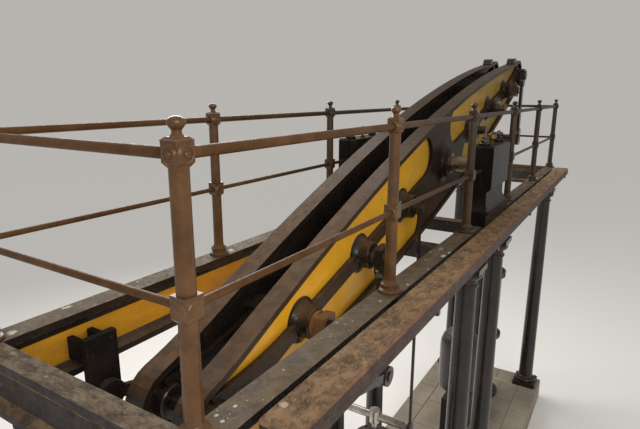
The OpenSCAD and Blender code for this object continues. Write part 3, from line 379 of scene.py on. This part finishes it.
def girder_finish():
    """Yellow-ochre webs between black mouldings, with worn, spotted grey tops, and painted shade in the webs'
    corners.
    """
    t = Tree("girder_finish")
    off = t.math("ABSOLUTE", t.math("SUBTRACT", t.math("ABSOLUTE", t.along("X")), GIRDER_X))
    web = t.ramp(off, 0.023, 0.0215)
    panel_top, panel_foot, soft = FLOOR_Z - 0.118, FLOOR_Z - 0.32, 0.001
    under_top = t.ramp(t.along("Z"), panel_top + soft, panel_top - soft)
    over_foot = t.ramp(t.along("Z"), panel_foot - soft, panel_foot + soft)
    panel = t.product(web, under_top, over_foot)

    top = t.ramp(t.facing("Z"), 0.5, 0.95)
    dark, rough, fine, settled = paint_layers(
        t, base=(0.016, 0.012, 0.01), shade=(0.028, 0.02, 0.015),
        dust=(0.142, 0.099, 0.057), dust_share=top, worn=(0.2, 0.15, 0.1), wear=0.8)
    flecks = t.product(
        t.ramp(t.cells(13, (1, 0.8, 1)), 0.16, 0.08), t.ramp(t.noise(2.3, 3), 0.44, 0.56))
    small = t.product(t.ramp(t.cells(37), 0.15, 0.09), t.ramp(t.noise(4.1, 3), 0.49, 0.58))
    splats = t.product(
        t.ramp(t.ragged((1, 0.7, 1)), 0.36, 0.3), t.ramp(t.noise(1.9, 3), 0.5, 0.58))
    white = t.math("MAXIMUM", t.math("MAXIMUM", flecks, small), splats)
    dark = t.mix(t.product(white, top, 0.85), dark, (0.54, 0.51, 0.43))

    streak = t.ramp(t.noise(5, 6, 0.7, stretch=(1, 0.4, 1.6)), 0.35, 0.7)
    yellow = t.mix(streak, (0.68, 0.33, 0.024), (0.5, 0.24, 0.02))
    # Painted shade: the ochre darkens in corners and under the flanges.
    yellow = t.mix(t.product(t.corners(0.06), 0.8), yellow, (0.17, 0.08, 0.015))
    t.bump(t.math("ADD", fine, t.noise(9, 3)), strength=0.2, distance=0.004)
    coat = t.ramp(settled, 0.0, 0.25, 0.25, 0.0)
    return t.done(t.mix(panel, dark, yellow), rough, coat=coat, gloss=0.3)


def brown_paint(name, tone, coat, gloss, matte=0.0):
    """The railing's brown paint, with drips, chips and grime; painted shade darkens it away from the steam end."""
    t = Tree(name)
    color, rough, fine, _ = paint_layers(
        t, base=(0.105, 0.047, 0.017), shade=(0.15, 0.071, 0.026), dust=(0.17, 0.11, 0.065),
        dust_share=t.ramp(t.facing("Z"), 0.5, 1.0, 0.0, 0.15), worn=(0.3, 0.18, 0.09), wear=0.7)
    color = t.tinted(color, (tone, tone, tone))
    # Painted shade: the paint grows darker and cooler from the steam end towards the far end.
    color = t.tinted(color, (0.42, 0.55, 0.8), t.ramp(t.along("Y"), -3.3, -0.6))
    chips = t.product(
        t.ramp(t.cells(60, (1, 1, 0.6)), 0.13, 0.08), t.ramp(t.noise(14, 4), 0.58, 0.66), 0.6)
    color = t.mix(chips, color, (0.34, 0.26, 0.17))
    runs = t.noise(24, 3, 0.5, stretch=(1, 1, 0.35))
    t.bump(t.math("ADD", t.product(fine, 0.6), runs), strength=0.2, distance=0.004)
    return t.done(color, t.rougher(rough, matte), coat=coat, gloss=gloss)


def worn_grey(name, across, near, far):
    """Mottled khaki-grey with pits, scratches and white marks.

    Its grain lies along the engine, or across it for the cross girders; near and far tint the
    steam end and the rest.
    """
    t = Tree(name)

    def lying(wide, long):
        """A stretch by width and by length, turned as the piece lies."""
        return (long, wide, 1) if across else (wide, long, 1)

    blotch = t.ramp(t.noise(10, 9, 0.8, stretch=lying(1.5, 0.8), warp=0.4), 0.38, 0.62)
    color = t.mix(blotch, (0.245, 0.148, 0.068), (0.07, 0.045, 0.025))
    streaks = t.ramp(t.noise(22, 8, 0.78, stretch=lying(1.5, 0.75), warp=0.5), 0.5, 0.64)
    color = t.mix(t.product(streaks, 0.6), color, (0.3, 0.19, 0.086))
    pits = t.ramp(t.noise(38, 5, 0.75, stretch=lying(1.3, 0.8)), 0.55, 0.68)
    color = t.mix(t.product(pits, 0.75), color, (0.032, 0.023, 0.016))
    scratch = t.ramp(t.noise(30, 5, 0.7, stretch=lying(2.2, 0.5), warp=0.5), 0.6, 0.68)
    color = t.mix(t.product(scratch, 0.6), color, (0.45, 0.33, 0.18))
    spots = t.product(t.ramp(t.cells(17), 0.1, 0.06), t.ramp(t.noise(3.3, 3), 0.52, 0.6))
    splats = t.product(t.ramp(t.ragged(), 0.33, 0.27), t.ramp(t.noise(2.1, 3), 0.5, 0.58))
    color = t.mix(t.product(t.math("MAXIMUM", spots, splats), 0.8), color, (0.48, 0.44, 0.36))

    edge_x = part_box("edge_beam")[1].x
    edge = t.product(
        t.ramp(t.along("X"), edge_x - 0.055, edge_x - 0.012), t.ramp(t.noise(9, 5, 0.6), 0.4, 0.58),
        0.75)
    color = t.mix(edge, color, (0.21, 0.085, 0.06))
    side = t.ramp(t.math("ABSOLUTE", t.facing("Z")), 0.4, 0.1)
    color = t.mix(t.product(side, 0.8), color, (0.035, 0.032, 0.036))
    color = t.tinted(color, t.mix(t.ramp(t.along("Y"), -4.2, -1.6), near, far))
    t.bump(t.math("ADD", blotch, t.noise(45, 4)), strength=0.4, distance=0.005)
    return t.done(color, t.ramp(blotch, 0, 1, 0.62, 0.8), gloss=0.3)


def stone():
    """Dressed sandstone; each block has its own tone, and painted shade darkens its corners."""
    t = Tree("stone")
    cloud = t.ramp(t.noise(1.7, 4, 0.6), 0.35, 0.65, 0.0, 0.6)
    tone = t.math("ADD", cloud, t.product(t.own(), 0.4), clamp=True)
    color = t.mix(tone, (0.36, 0.31, 0.235), (0.235, 0.2, 0.155))
    grain = t.noise(55, 6, 0.7)
    color = t.mix(t.ramp(grain, 0.4, 0.62, 0.0, 0.45), color, (0.16, 0.135, 0.11))
    stain = t.ramp(t.noise(3.4, 7, 0.75, warp=0.5), 0.55, 0.75, 0.0, 0.6)
    color = t.mix(stain, color, (0.12, 0.1, 0.085))
    # Painted shade: the stone darkens in corners and under ledges.
    color = t.mix(t.product(t.corners(0.05), 0.6), color, (0.06, 0.05, 0.04))
    tooling = t.product(t.noise(40, 3, 0.6, stretch=(0.3, 0.3, 1.6)), 0.5)
    relief = t.math("ADD", t.math("ADD", grain, t.noise(12, 5)), tooling)
    t.bump(relief, strength=0.5, distance=0.008)
    return t.done(color, 0.85, gloss=0.25)


def bare_nuts():
    """Rust-brown nuts with a dull, oily face; painted shade darkens them away from the steam end."""
    t = Tree("nut_brown")
    color, rough, fine, _ = paint_layers(
        t, base=(0.25, 0.123, 0.047), shade=(0.4, 0.21, 0.08), dust=(0.13, 0.085, 0.05),
        dust_share=0.2, worn=(0.45, 0.28, 0.13), wear=0.8)
    # Painted shade: the nuts grow darker and cooler from the steam end towards the far end.
    color = t.tinted(color, (0.22, 0.24, 0.3), t.ramp(t.along("Y"), -2.8, -0.5))
    t.bump(fine, strength=0.2, distance=0.003)
    return t.done(color, rough, coat=0.1, gloss=0.3)


def metal(name, light, dark, rough_low, rough_high, stretch=(1, 1, 1)):
    """Bare metal with tarnish clouds, fine turning lines and painted shade in its corners."""
    t = Tree(name)
    cloud = t.ramp(t.noise(9, 5, 0.65), 0.35, 0.68)
    lines = t.noise(60, 3, 0.5, stretch=stretch)
    color = t.mix(cloud, light, dark)
    # Painted shade: the metal darkens in corners and under ledges.
    color = t.mix(t.product(t.corners(0.03), 0.7), color, scaled(dark, 0.3))
    t.bump(lines, strength=0.1, distance=0.002)
    return t.done(color, t.ramp(lines, 0.3, 0.7, rough_low, rough_high), metallic=0.9)


def lagging_wood():
    """Varnished hardwood staves; each stave has its own tone."""
    t = Tree("lagging_wood")
    grain = t.noise(30, 6, 0.65, stretch=(1.4, 1.4, 0.12), warp=0.35)
    tone = t.math("ADD", t.ramp(grain, 0.35, 0.68, 0.0, 0.65), t.product(t.own(), 0.35))
    color = t.mix(tone, (0.2, 0.08, 0.032), (0.085, 0.032, 0.015))
    t.bump(grain, strength=0.25, distance=0.003)
    return t.done(color, t.ramp(grain, 0.3, 0.7, 0.25, 0.42), coat=0.35, gloss=0.4)


TURNED = (1, 6, 6)
BLACK = cast_black("cast_black", dust=0.6)
CLEAN_BLACK = cast_black("clean_black", dust=0.08)
BEARING_BLACK = cast_black("bearing_black", dust=0.2, tone=0.5, coat=0.07, gloss=0.06)
MATTE_BLACK = cast_black("matte_black", dust=0.05, coat=0.0, gloss=0.05, matte=0.4)
BEAM = beam_finish()
GIRDER = girder_finish()
BROWN = brown_paint("post_brown", tone=0.88, coat=0.2, gloss=0.26)
RAIL_BROWN = brown_paint("rail_brown", tone=0.8, coat=0.04, gloss=0.1, matte=0.1)
GREY = worn_grey("worn_grey", across=False, near=(0.95, 0.88, 0.78), far=(1.2, 1.2, 1.22))
CROSS_GREY = worn_grey("cross_grey", across=True, near=(0.62, 0.66, 0.74), far=(0.75, 0.82, 0.95))
STONE = stone()
STEEL = metal("bright_steel", (0.6, 0.57, 0.52), (0.34, 0.3, 0.26), 0.16, 0.34, TURNED)
BRASS = metal("dull_brass", (0.26, 0.165, 0.062), (0.12, 0.072, 0.03), 0.32, 0.52)
DULL_STEEL = metal("dull_steel", (0.34, 0.27, 0.19), (0.17, 0.13, 0.09), 0.24, 0.4, TURNED)
DARK_STEEL = metal("dark_steel", (0.14, 0.115, 0.09), (0.055, 0.044, 0.036), 0.3, 0.5)
WOOD = lagging_wood()
NUT_BROWN = bare_nuts()

FINISHES = {
    "stone": STONE, "black_paint": BLACK, "ochre_paint": GIRDER, "beam_paint": BEAM,
    "worn_grey": GREY, "brown_paint": BROWN, "bright_steel": STEEL, "brass": BRASS,
}
OWN_FINISHES = {
    "pin_nuts": NUT_BROWN, "beam_pins": DARK_STEEL, "gudgeon": DULL_STEEL,
    "end_lugs": CLEAN_BLACK, "distance_pieces": CLEAN_BLACK, "radius_brackets": MATTE_BLACK,
    "pedestals": BEARING_BLACK, "pedestal_caps": BEARING_BLACK,
    "top_rails": RAIL_BROWN, "lower_rails": RAIL_BROWN, "cross_girders": CROSS_GREY,
}


def finish_nodes():
    """Gives each CAD node its own finish, or else that of its material slot."""
    slots = {row["node"]: row["material_slot"] for row in frame["record"]["subparts"]}
    for name, obj in frame["nodes"].items():
        obj.data.materials.clear()
        obj.data.materials.append(OWN_FINISHES.get(name, FINISHES[slots[name]]))


class Piece:
    """Collects the parts of one piece in one mesh, in metres and in the frame of the CAD."""

    def __init__(self):
        self.mesh = bmesh.new()
        self.at = Matrix.Identity(4)

    def turned(self, profile, place, axis=UP, *, steps, turn=0.0):
        """Revolves a profile of (radius, height) pairs about an axis through place."""
        align = Vector(UP).rotation_difference(Vector(axis)).to_matrix().to_4x4()
        spin = Matrix.Rotation(turn, 4, "Z")
        where = self.at @ Matrix.Translation(Vector(place)) @ align @ spin
        rings = []
        for radius, height in profile:
            count = 1 if radius == 0 else steps
            rings.append([
                self.mesh.verts.new(where @ Vector((radius * math.cos(a), radius * math.sin(a), height)))
                for a in [2 * math.pi * i / steps for i in range(count)]
            ])
        for low, high in zip(rings, rings[1:]):
            for i in range(steps):
                j = (i + 1) % steps
                if len(low) == 1 and len(high) > 1:
                    self.mesh.faces.new((low[0], high[j], high[i]))
                elif len(high) == 1 and len(low) > 1:
                    self.mesh.faces.new((low[i], low[j], high[0]))
                elif len(high) > 1:
                    self.mesh.faces.new((low[i], low[j], high[j], high[i]))

    def block(self, low, high, bevel=0.0):
        """A block between two corners, with its edges bevelled."""
        low, high = Vector(low), Vector(high)
        size = high - low
        made = bmesh.ops.create_cube(self.mesh, size=1, matrix=(
            self.at @ Matrix.Translation((low + high) / 2) @ Matrix.Diagonal((*size, 1))))
        if bevel:
            edges = list({edge for vert in made["verts"] for edge in vert.link_edges})
            bmesh.ops.bevel(self.mesh, geom=edges, offset=bevel, segments=1, affect="EDGES")

    def loft(self, rows):
        """A closed body through rows of places, with a flat end at the first and the last."""
        rings = [[self.mesh.verts.new(place) for place in row] for row in rows]
        count = len(rings[0])
        for lower, upper in zip(rings, rings[1:]):
            for i in range(count):
                j = (i + 1) % count
                self.mesh.faces.new((lower[i], lower[j], upper[j], upper[i]))
        self.mesh.faces.new(list(reversed(rings[0])))
        self.mesh.faces.new(rings[-1])

    def bolt(self, place, axis, nut):
        """A washer, a bevelled nut of about the radius given and the domed end of its stud."""
        washer = [(1.35, -TOUCH / nut), (1.35, 0.16), (1.25, 0.22), (0, 0.22)]
        body = [(1, 0.2), (1.06, 0.3), (1.06, 0.95), (0.9, 1.08), (0, 1.08)]
        stud = [(0.52, 1), (0.52, 1.4), (0.4, 1.52), (0, 1.56)]
        washer, body, stud = [[scaled(point, nut) for point in part] for part in (washer, body, stud)]
        self.turned(washer, place, axis, steps=14)
        self.turned(body, place, axis, steps=6, turn=random.uniform(0, math.pi))
        self.turned(stud, place, axis, steps=10)

    def bolt_ring(self, middle_y, z, count, radius, nut, start=0.0, skip=()):
        """Upright bolts on a circle round a place on the engine's centre line."""
        for x, y in ring_of(count, radius, start, skip):
            self.bolt((x, middle_y + y, z), UP, nut=nut)

    def done(self, name, finish, body, slot, smooth=35):
        """Makes the object; edges sharper than smooth, in degrees, stay sharp."""
        bmesh.ops.recalc_face_normals(self.mesh, faces=self.mesh.faces)
        data = bpy.data.meshes.new(name)
        self.mesh.to_mesh(data)
        self.mesh.free()
        data.materials.append(finish)
        obj = bpy.data.objects.new(name, data)
        bpy.context.scene.collection.objects.link(obj)
        data.shade_smooth()
        data.set_sharp_from_angle(angle=math.radians(smooth))
        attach(obj, body)
        return obj


def column_bolts():
    """Holding-down nuts on the plinths, and nuts on the girders' flanges over the caps."""
    piece = Piece()
    plinth, cap_x, cap_y = 0.172, 0.076, 0.125
    plinth_top = BED_TOP + PLINTH_H
    flange_top = FLOOR_Z - GIRDER_H + GIRDER_FLANGE_T
    for x in (-GIRDER_X, GIRDER_X):
        for y in COLUMN_YS:
            for u in (-1, 1):
                for v in (-1, 1):
                    piece.bolt((x + u * plinth, y + v * plinth, plinth_top), UP, nut=0.021)
                    piece.bolt((x + u * cap_x, y + v * cap_y, flange_top), UP, nut=0.014)
    piece.done("column_bolts", BLACK, "frame", "black_paint")


def bearing_bolts():
    """Washers, tall stud nuts with lock nuts and their studs on the bearing caps."""
    piece = Piece()
    stud_y = 0.305
    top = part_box("pedestal_caps")[1].z
    washer = [(0.05, -TOUCH), (0.05, 0.007), (0.046, 0.01), (0, 0.01)]
    stud = [(0.022, 0.05), (0.022, 0.098), (0.018, 0.104), (0, 0.106)]
    for x in (-GIRDER_X, GIRDER_X):
        for s in (-1, 1):
            place = Vector((x, s * stud_y, top))
            piece.turned(washer, place, steps=20)
            for level, height in ((0.009, 0.04), (0.052, 0.026)):
                end = level + height
                nut = [(0.036, level), (0.039, level + 0.004), (0.039, end - 0.005),
                       (0.034, end), (0, end)]
                piece.turned(nut, place, steps=6, turn=random.uniform(0, 1))
            piece.turned(stud, place, steps=14)
    piece.done("bearing_nuts", DARK_STEEL, "frame", "bright_steel")


def cylinder_bolts():
    """Nuts round the flanges and the covers of the steam cylinder and the pump barrel."""
    piece = Piece()
    cover, foot = CYLINDER_TOP + FLANGE_T, BED_TOP + FLANGE_T
    chest = (-math.pi / 2, 0.8)
    piece.bolt_ring(STEAM_Y, cover, count=24, radius=0.485, nut=0.017)
    piece.bolt_ring(STEAM_Y, foot, count=20, radius=0.485, nut=0.017)
    piece.bolt_ring(PUMP_Y, cover, count=16, radius=0.325, nut=0.015)
    piece.bolt_ring(PUMP_Y, foot, count=18, radius=0.357, nut=0.016, skip=[chest])
    middle, half = (BED_TOP + CYLINDER_TOP) / 2, 0.033
    for x, y in ring_of(16, 0.334):
        piece.bolt((x, PUMP_Y + y, middle + half), UP, nut=0.014)
        piece.bolt((x, PUMP_Y + y, middle - half), DOWN, nut=0.014)
    piece.done("flange_nuts", BLACK, "frame", "black_paint")


def gland_studs():
    """Brass-nutted studs on the glands of the piston rod and the pump rod."""
    piece = Piece()
    top, margin = CYLINDER_TOP + GLAND_H + 0.001, 0.058
    for y, rod in ((STEAM_Y, 0.055), (PUMP_Y, 0.048)):
        piece.bolt_ring(y, top, count=6, radius=rod + margin, nut=0.011, start=0.3)
    piece.done("gland_nuts", BRASS, "frame", "brass")


def chest_studs():
    """Nuts round the two panels of the steam chest's lid."""
    piece = Piece()
    low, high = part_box("steam_chest")
    nut, outward, side, end = 0.014, (0, 1, 0), 0.036, 0.04
    xs = (low.x + side, high.x - side)
    foot, head = low.z + end, high.z - end
    for z in even(foot, head, 0.145):
        for x in xs:
            piece.bolt((x, high.y, z), outward, nut=nut)
    for z in (foot, (low.z + high.z) / 2, head):
        for x in even(*xs, 0.15)[1:-1]:
            piece.bolt((x, high.y, z), outward, nut=nut)
    piece.done("chest_nuts", BLACK, "frame", "black_paint")


def condenser_bolts():
    """Nuts on the condenser's rim, the exhaust pipe and the air pump."""
    piece = Piece()
    low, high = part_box("condenser")
    rim, end, nut = 0.02, 0.075, 0.011
    for x in even(low.x + end, high.x - end, 0.15):
        for y in (low.y + rim, high.y - rim):
            piece.bolt((x, y, high.z), UP, nut=nut)
    for y in even(low.y + end, high.y - end, 0.16):
        for x in (low.x + rim, high.x - rim):
            piece.bolt((x, y, high.z), UP, nut=nut)
    barrel_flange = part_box("air_pump_barrel")[1].z - 0.11
    base_flange = high.z + 0.034
    piece.bolt_ring(AIR_Y, base_flange, count=10, radius=0.224, nut=0.012)
    piece.bolt_ring(AIR_Y, barrel_flange, count=10, radius=0.205, nut=0.012)
    pipe_low, pipe_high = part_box("exhaust_pipe")
    pipe_z = (pipe_low.z + pipe_high.z) / 2
    pipe_flange = pipe_low.y + 0.034
    for x, z in ring_of(8, 0.119, 0.2):
        piece.bolt((x, pipe_flange, pipe_z + z), (0, 1, 0), nut=0.012)
    piece.done("condenser_nuts", BLACK, "frame", "black_paint")


def vessel_bolts():
    """Nuts on the foot of the air vessel and on the lids of the valve chest."""
    piece = Piece()
    chest_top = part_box("air_vessel")[0].z
    foot_flange, lid_top = chest_top + 0.045, chest_top + 0.049
    piece.bolt_ring(VESSEL_Y, foot_flange, count=8, radius=0.172, nut=0.014, start=0.2)
    for part in (0.31, 0.55):
        lid_y = VESSEL_Y + part * (PUMP_Y - VESSEL_Y)
        piece.bolt_ring(lid_y, lid_top, count=8, radius=0.153, nut=0.011, start=0.2)
    piece.done("vessel_nuts", BLACK, "frame", "black_paint")


def girder_cleats():
    """Angle cleats with bolts where the cross girders meet the long girders."""
    piece = Piece()
    low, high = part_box("cross_girders")
    back, face = GIRDER_X - 0.0205, GIRDER_X - 0.034
    middle, web_half, bolt_share = 0.065, 0.02, 0.55
    foot, head = FLOOR_Z - 0.29, FLOOR_Z - 0.13
    for x in (-1, 1):
        for s in (-1, 1):
            y = high.y - middle if s > 0 else low.y + middle
            for t in (-1, 1):
                wall = y + t * web_half
                leg = 0.065 if t == s else 0.1
                ys = sorted((wall, wall + t * leg))
                xs = sorted((x * back, x * face))
                piece.block((xs[0], ys[0], foot), (xs[1], ys[1], head), bevel=0.003)
                bolt_y = wall + t * leg * bolt_share
                for depth in (0.255, 0.21, 0.165):
                    piece.bolt((x * face, bolt_y, FLOOR_Z - depth), (-x, 0, 0), nut=0.012)
    piece.done("girder_cleats", BLACK, "frame", "black_paint")


def bracket_bolts():
    """Bolts through the flanges of the radius rods' brackets."""
    piece = Piece()
    low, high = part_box("radius_brackets")
    y = (low.y + high.y) / 2
    upper, lower, apart, flange = high.z - 0.045, high.z - 0.12, 0.07, 0.0065
    for x in (-1, 1):
        face = x * (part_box("radius_rods")[1].x + flange)
        for v in (-apart, apart):
            for z in (upper, lower):
                piece.bolt((face, y + v, z), (-x, 0, 0), nut=0.014)
    piece.done("bracket_bolts", MATTE_BLACK, "frame", "black_paint")


def post_rosettes():
    """A raised ring on each round seat of the upper rail blocks, with a button where no rail enters."""
    piece = Piece()
    seat, radius, bead = 0.046, 0.0285, 0.0045
    ring = [
        (radius + bead * math.cos(a), bead * math.sin(a) - TOUCH) for a in divided(0, math.pi, 6)]
    button = [(0.015, -TOUCH), (0.0135, 0.004), (0.008, 0.0075), (0, 0.009)]
    for x in (-GIRDER_X, GIRDER_X):
        for y in POST_YS:
            at_steam, at_pump = y == POST_YS[0], y == POST_YS[-1]
            for axis in ((1, 0, 0), (-1, 0, 0), (0, 1, 0), (0, -1, 0)):
                face = Vector((x, y, UPPER_RAIL_Z)) + seat * Vector(axis)
                piece.turned(ring, face, axis, steps=20)
                along = (axis[1] > 0 and not at_pump) or (axis[1] < 0 and not at_steam)
                over = (at_steam or at_pump) and axis[0] * x < 0
                if not along and not over:
                    piece.turned(button, face, axis, steps=14)
    piece.done("post_rosettes", BROWN, "frame", "brown_paint", 60)


def round_cylinder(radius, angle, z):
    """A place round the steam cylinder's axis."""
    return radius * math.cos(angle), STEAM_Y + radius * math.sin(angle), z


def cylinder_lagging():
    """Hardwood staves round the steam cylinder, clear of the steam chest, and brass bands round them."""
    low_z, high_z = BED_TOP + 0.115, CYLINDER_TOP - 0.19
    inner, outer = 0.4455, 0.472
    gap = math.radians(35)
    first, arc = math.pi / 2 + gap, 2 * math.pi - 2 * gap

    wood = Piece()
    staves = 40
    step = arc / staves
    joint, round_angle, round_depth, end_ease, end_length = 0.004, 0.008, 0.003, 0.004, 0.006
    levels = (
        (low_z, end_ease), (low_z + end_length, 0), (high_z - end_length, 0), (high_z, end_ease))
    for i in range(staves):
        start = first + i * step
        a, b = start + joint, start + step - joint
        rows = []
        for z, ease in levels:
            side, crown = outer - round_depth - ease, outer - ease
            section = ((inner, a), (side, a), (crown, a + round_angle),
                       (crown, b - round_angle), (side, b), (inner, b))
            rows.append([round_cylinder(r, angle, z) for r, angle in section])
        wood.loft(rows)
    wood.done("cylinder_staves", WOOD, "frame", "black_paint")

    bands = Piece()
    segments, proud, half, flat_half, margin = 72, 0.004, 0.022, 0.02, 0.12
    for z in even(low_z + margin, high_z - margin, 0.5):
        section = ((outer, z - half), (outer + proud, z - flat_half),
                   (outer + proud, z + flat_half), (outer, z + half))
        bands.loft([
            [round_cylinder(r, first + arc * i / segments, h) for r, h in section]
            for i in range(segments + 1)])
    bands.done("lagging_bands", BRASS, "frame", "brass")


def stone_courses():
    """Two courses of dressed blocks round the bed, and slabs inside them, with thin mortar joints."""
    low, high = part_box("stone_bed")
    piece = Piece()
    joint, depth, bevel, mortar, lift = 0.003, 0.36, 0.009, 0.02, 0.001
    middle = (low.z + high.z) / 2
    inner_x, y_low, y_high = high.x - depth, low.y + depth, high.y - depth
    for z0, z1, count in ((low.z, middle - joint, 12), (middle + joint, high.z, 13)):
        for side in (-1, 1):
            xs = sorted((side * high.x, side * inner_x))
            for y0, y1 in spans(low.y, high.y, count):
                y0 += joint if y0 > low.y else 0
                y1 -= joint if y1 < high.y else 0
                piece.block((xs[0], y0, z0), (xs[1], y1, z1), bevel)
            ys = (low.y, y_low) if side < 0 else (y_high, high.y)
            for x0, x1 in spans(-inner_x, inner_x, count - 10):
                piece.block((x0 + joint, ys[0], z0), (x1 - joint, ys[1], z1), bevel)
    slab_top = high.z - lift
    for x0, x1 in spans(-inner_x, inner_x, 2):
        for y0, y1 in spans(y_low, y_high, 11):
            piece.block((x0 + joint, y0 + joint, middle), (x1 - joint, y1 - joint, slab_top), bevel)
    piece.block(low + Vector((mortar, mortar, lift)), high - Vector((mortar, mortar, 0.012)))
    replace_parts(piece.done("stone_courses", STONE, "frame", "stone", 20), "stone_bed")


def link_fittings(body, joint, x_low, x_high):
    """Brass bushes at the pins of a pair of hanging links, and gib and cotter through their straps."""
    brass, steel = Piece(), Piece()
    top = joint_at(joint)
    bottom = top - Vector((0, 0, LINK_L))
    wedge, proud, rim, foot = 0.105, 0.0025, 0.014, 0.016
    for side in (-1, 1):
        for face, out in ((x_high, 1), (x_low, -1)):
            for place, bore in ((top, 0.0555), (bottom, 0.0455)):
                at = Vector((side * face, place.y, place.z))
                ring = [(bore, -TOUCH), (bore, proud), (bore + rim, proud), (bore + foot, -TOUCH)]
                brass.turned(ring, at, (side * out, 0, 0), steps=28)
        middle = side * (x_low + x_high) / 2
        for place, way in ((top, -1), (bottom, 1)):
            z = place.z + way * wedge
            gib_low = (middle - 0.013, place.y - 0.094, z - 0.016)
            gib_high = (middle + 0.013, place.y + 0.094, z + 0.004)
            cotter_low = (middle - 0.012, place.y - 0.106, z + 0.004)
            cotter_high = (middle + 0.012, place.y + 0.11, z + 0.022)
            brass.block(gib_low, gib_high, bevel=0.002)
            steel.block(cotter_low, cotter_high, bevel=0.002)
    brass.done(body + "_bushes", BRASS, body, "brass")
    steel.done(body + "_cotters", STEEL, body, "bright_steel")


def beam_fittings():
    """Keys round the gudgeon at the hubs' faces, and end caps on the outer pins."""
    keys, caps = Piece(), Piece()
    keys.at = caps.at = Matrix.Translation(GUDGEON) @ Matrix.Rotation(TILT, 4, "X")
    radius, half, proud = 0.113, 0.013, 0.012
    dome = [(0.055, -0.004), (0.055, 0.006), (0.047, 0.013), (0.02, 0.0155), (0, 0.016)]
    for side in (-1, 1):
        xs = sorted((side * (HUB_FACE - TOUCH), side * (HUB_FACE + proud)))
        for y, z in ring_of(4, radius, math.pi / 4):
            keys.block((xs[0], y - half, z - half), (xs[1], y + half, z + half), bevel=0.002)
        for s in (-OUTER_PIN, OUTER_PIN):
            caps.turned(dome, Vector((side * OUTER_PIN_END, s, 0)), (side, 0, 0), steps=24)
    keys.done("hub_keys", STEEL, "beam", "bright_steel")
    caps.done("pin_ends", DARK_STEEL, "beam", "bright_steel")


def make_stage():
    """A plain pale floor under soft light, and the same pale tone behind it.

    The camera, gloss and glass see that tone; all other light is the soft light.
    """
    bpy.ops.mesh.primitive_plane_add(size=FLOOR_SIZE, location=(0, 0, -0.001))
    floor = bpy.context.object
    floor.name = "studio_floor"
    t = Tree("studio_floor")
    floor.data.materials.append(t.done(FLOOR_COLOR, 0.95, gloss=0.0))

    world = bpy.data.worlds.new("studio")
    bpy.context.scene.world = world
    world.use_nodes = True
    nodes, links = world.node_tree.nodes, world.node_tree.links
    soft = nodes["Background"]
    soft.inputs["Color"].default_value = SOFT_LIGHT
    soft.inputs["Strength"].default_value = SOFT_STRENGTH
    seen = nodes.new("ShaderNodeBackground")
    seen.inputs["Color"].default_value = BACKDROP
    seen.inputs["Strength"].default_value = 1.0
    path = nodes.new("ShaderNodeLightPath")
    share = path.outputs["Is Camera Ray"]
    for ray in ("Is Glossy Ray", "Is Transmission Ray"):
        either = nodes.new("ShaderNodeMath")
        either.operation = "MAXIMUM"
        links.new(share, either.inputs[0])
        links.new(path.outputs[ray], either.inputs[1])
        share = either.outputs[0]
    mix = nodes.new("ShaderNodeMixShader")
    links.new(share, mix.inputs[0])
    links.new(soft.outputs[0], mix.inputs[1])
    links.new(seen.outputs[0], mix.inputs[2])
    links.new(mix.outputs[0], nodes["World Output"].inputs["Surface"])


def make_lamp(name, place, target, size, watts, color):
    """A round area lamp that faces a target."""
    data = bpy.data.lights.new(name, "AREA")
    data.shape = "DISK"
    data.size = size
    data.energy = watts
    data.color = color
    lamp = bpy.data.objects.new(name, data)
    bpy.context.scene.collection.objects.link(lamp)
    lamp.location = place
    lamp.rotation_euler = (Vector(target) - Vector(place)).to_track_quat("-Z", "Y").to_euler()


def make_camera():
    """The camera, set at the photograph's place and angle of view."""
    data = bpy.data.cameras.new("camera")
    data.sensor_width = SENSOR_MM
    data.lens = FOCAL_PX / PHOTO_WIDTH * SENSOR_MM
    camera = bpy.data.objects.new("camera", data)
    bpy.context.scene.collection.objects.link(camera)
    ahead = Vector((math.sin(CAMERA_YAW) * math.cos(CAMERA_PITCH),
                    math.cos(CAMERA_YAW) * math.cos(CAMERA_PITCH), math.sin(CAMERA_PITCH)))
    right = Vector((math.cos(CAMERA_YAW), -math.sin(CAMERA_YAW), 0))
    up = right.cross(ahead)
    turned_right = right * math.cos(CAMERA_ROLL) + up * math.sin(CAMERA_ROLL)
    turned_up = up * math.cos(CAMERA_ROLL) - right * math.sin(CAMERA_ROLL)
    rotation = Matrix((turned_right, turned_up, -ahead)).transposed()
    camera.matrix_world = Matrix.Translation(CAMERA_AT) @ rotation.to_4x4()
    bpy.context.scene.camera = camera


make_camera()
finish_nodes()
make_stage()
make_lamp("window_light", (-7, 3, 10), (0, 0, 4.5), size=8, watts=880, color=(1.0, 0.97, 0.92))
make_lamp("room_light", (7, -8, 9), (0, -1, 4.5), size=6, watts=500, color=(1.0, 0.96, 0.9))
column_bolts()
bearing_bolts()
cylinder_bolts()
gland_studs()
chest_studs()
condenser_bolts()
vessel_bolts()
girder_cleats()
bracket_bolts()
post_rosettes()
cylinder_lagging()
stone_courses()
link_fittings("main_links", "main_link_swing", x_low=0.31, x_high=0.38)
link_fittings("back_links", "back_link_swing", x_low=0.405, x_high=0.475)
link_fittings("pump_links", "pump_link_swing", x_low=0.31, x_high=0.38)
beam_fittings()
bpy.context.scene.view_settings.view_transform = "Standard"
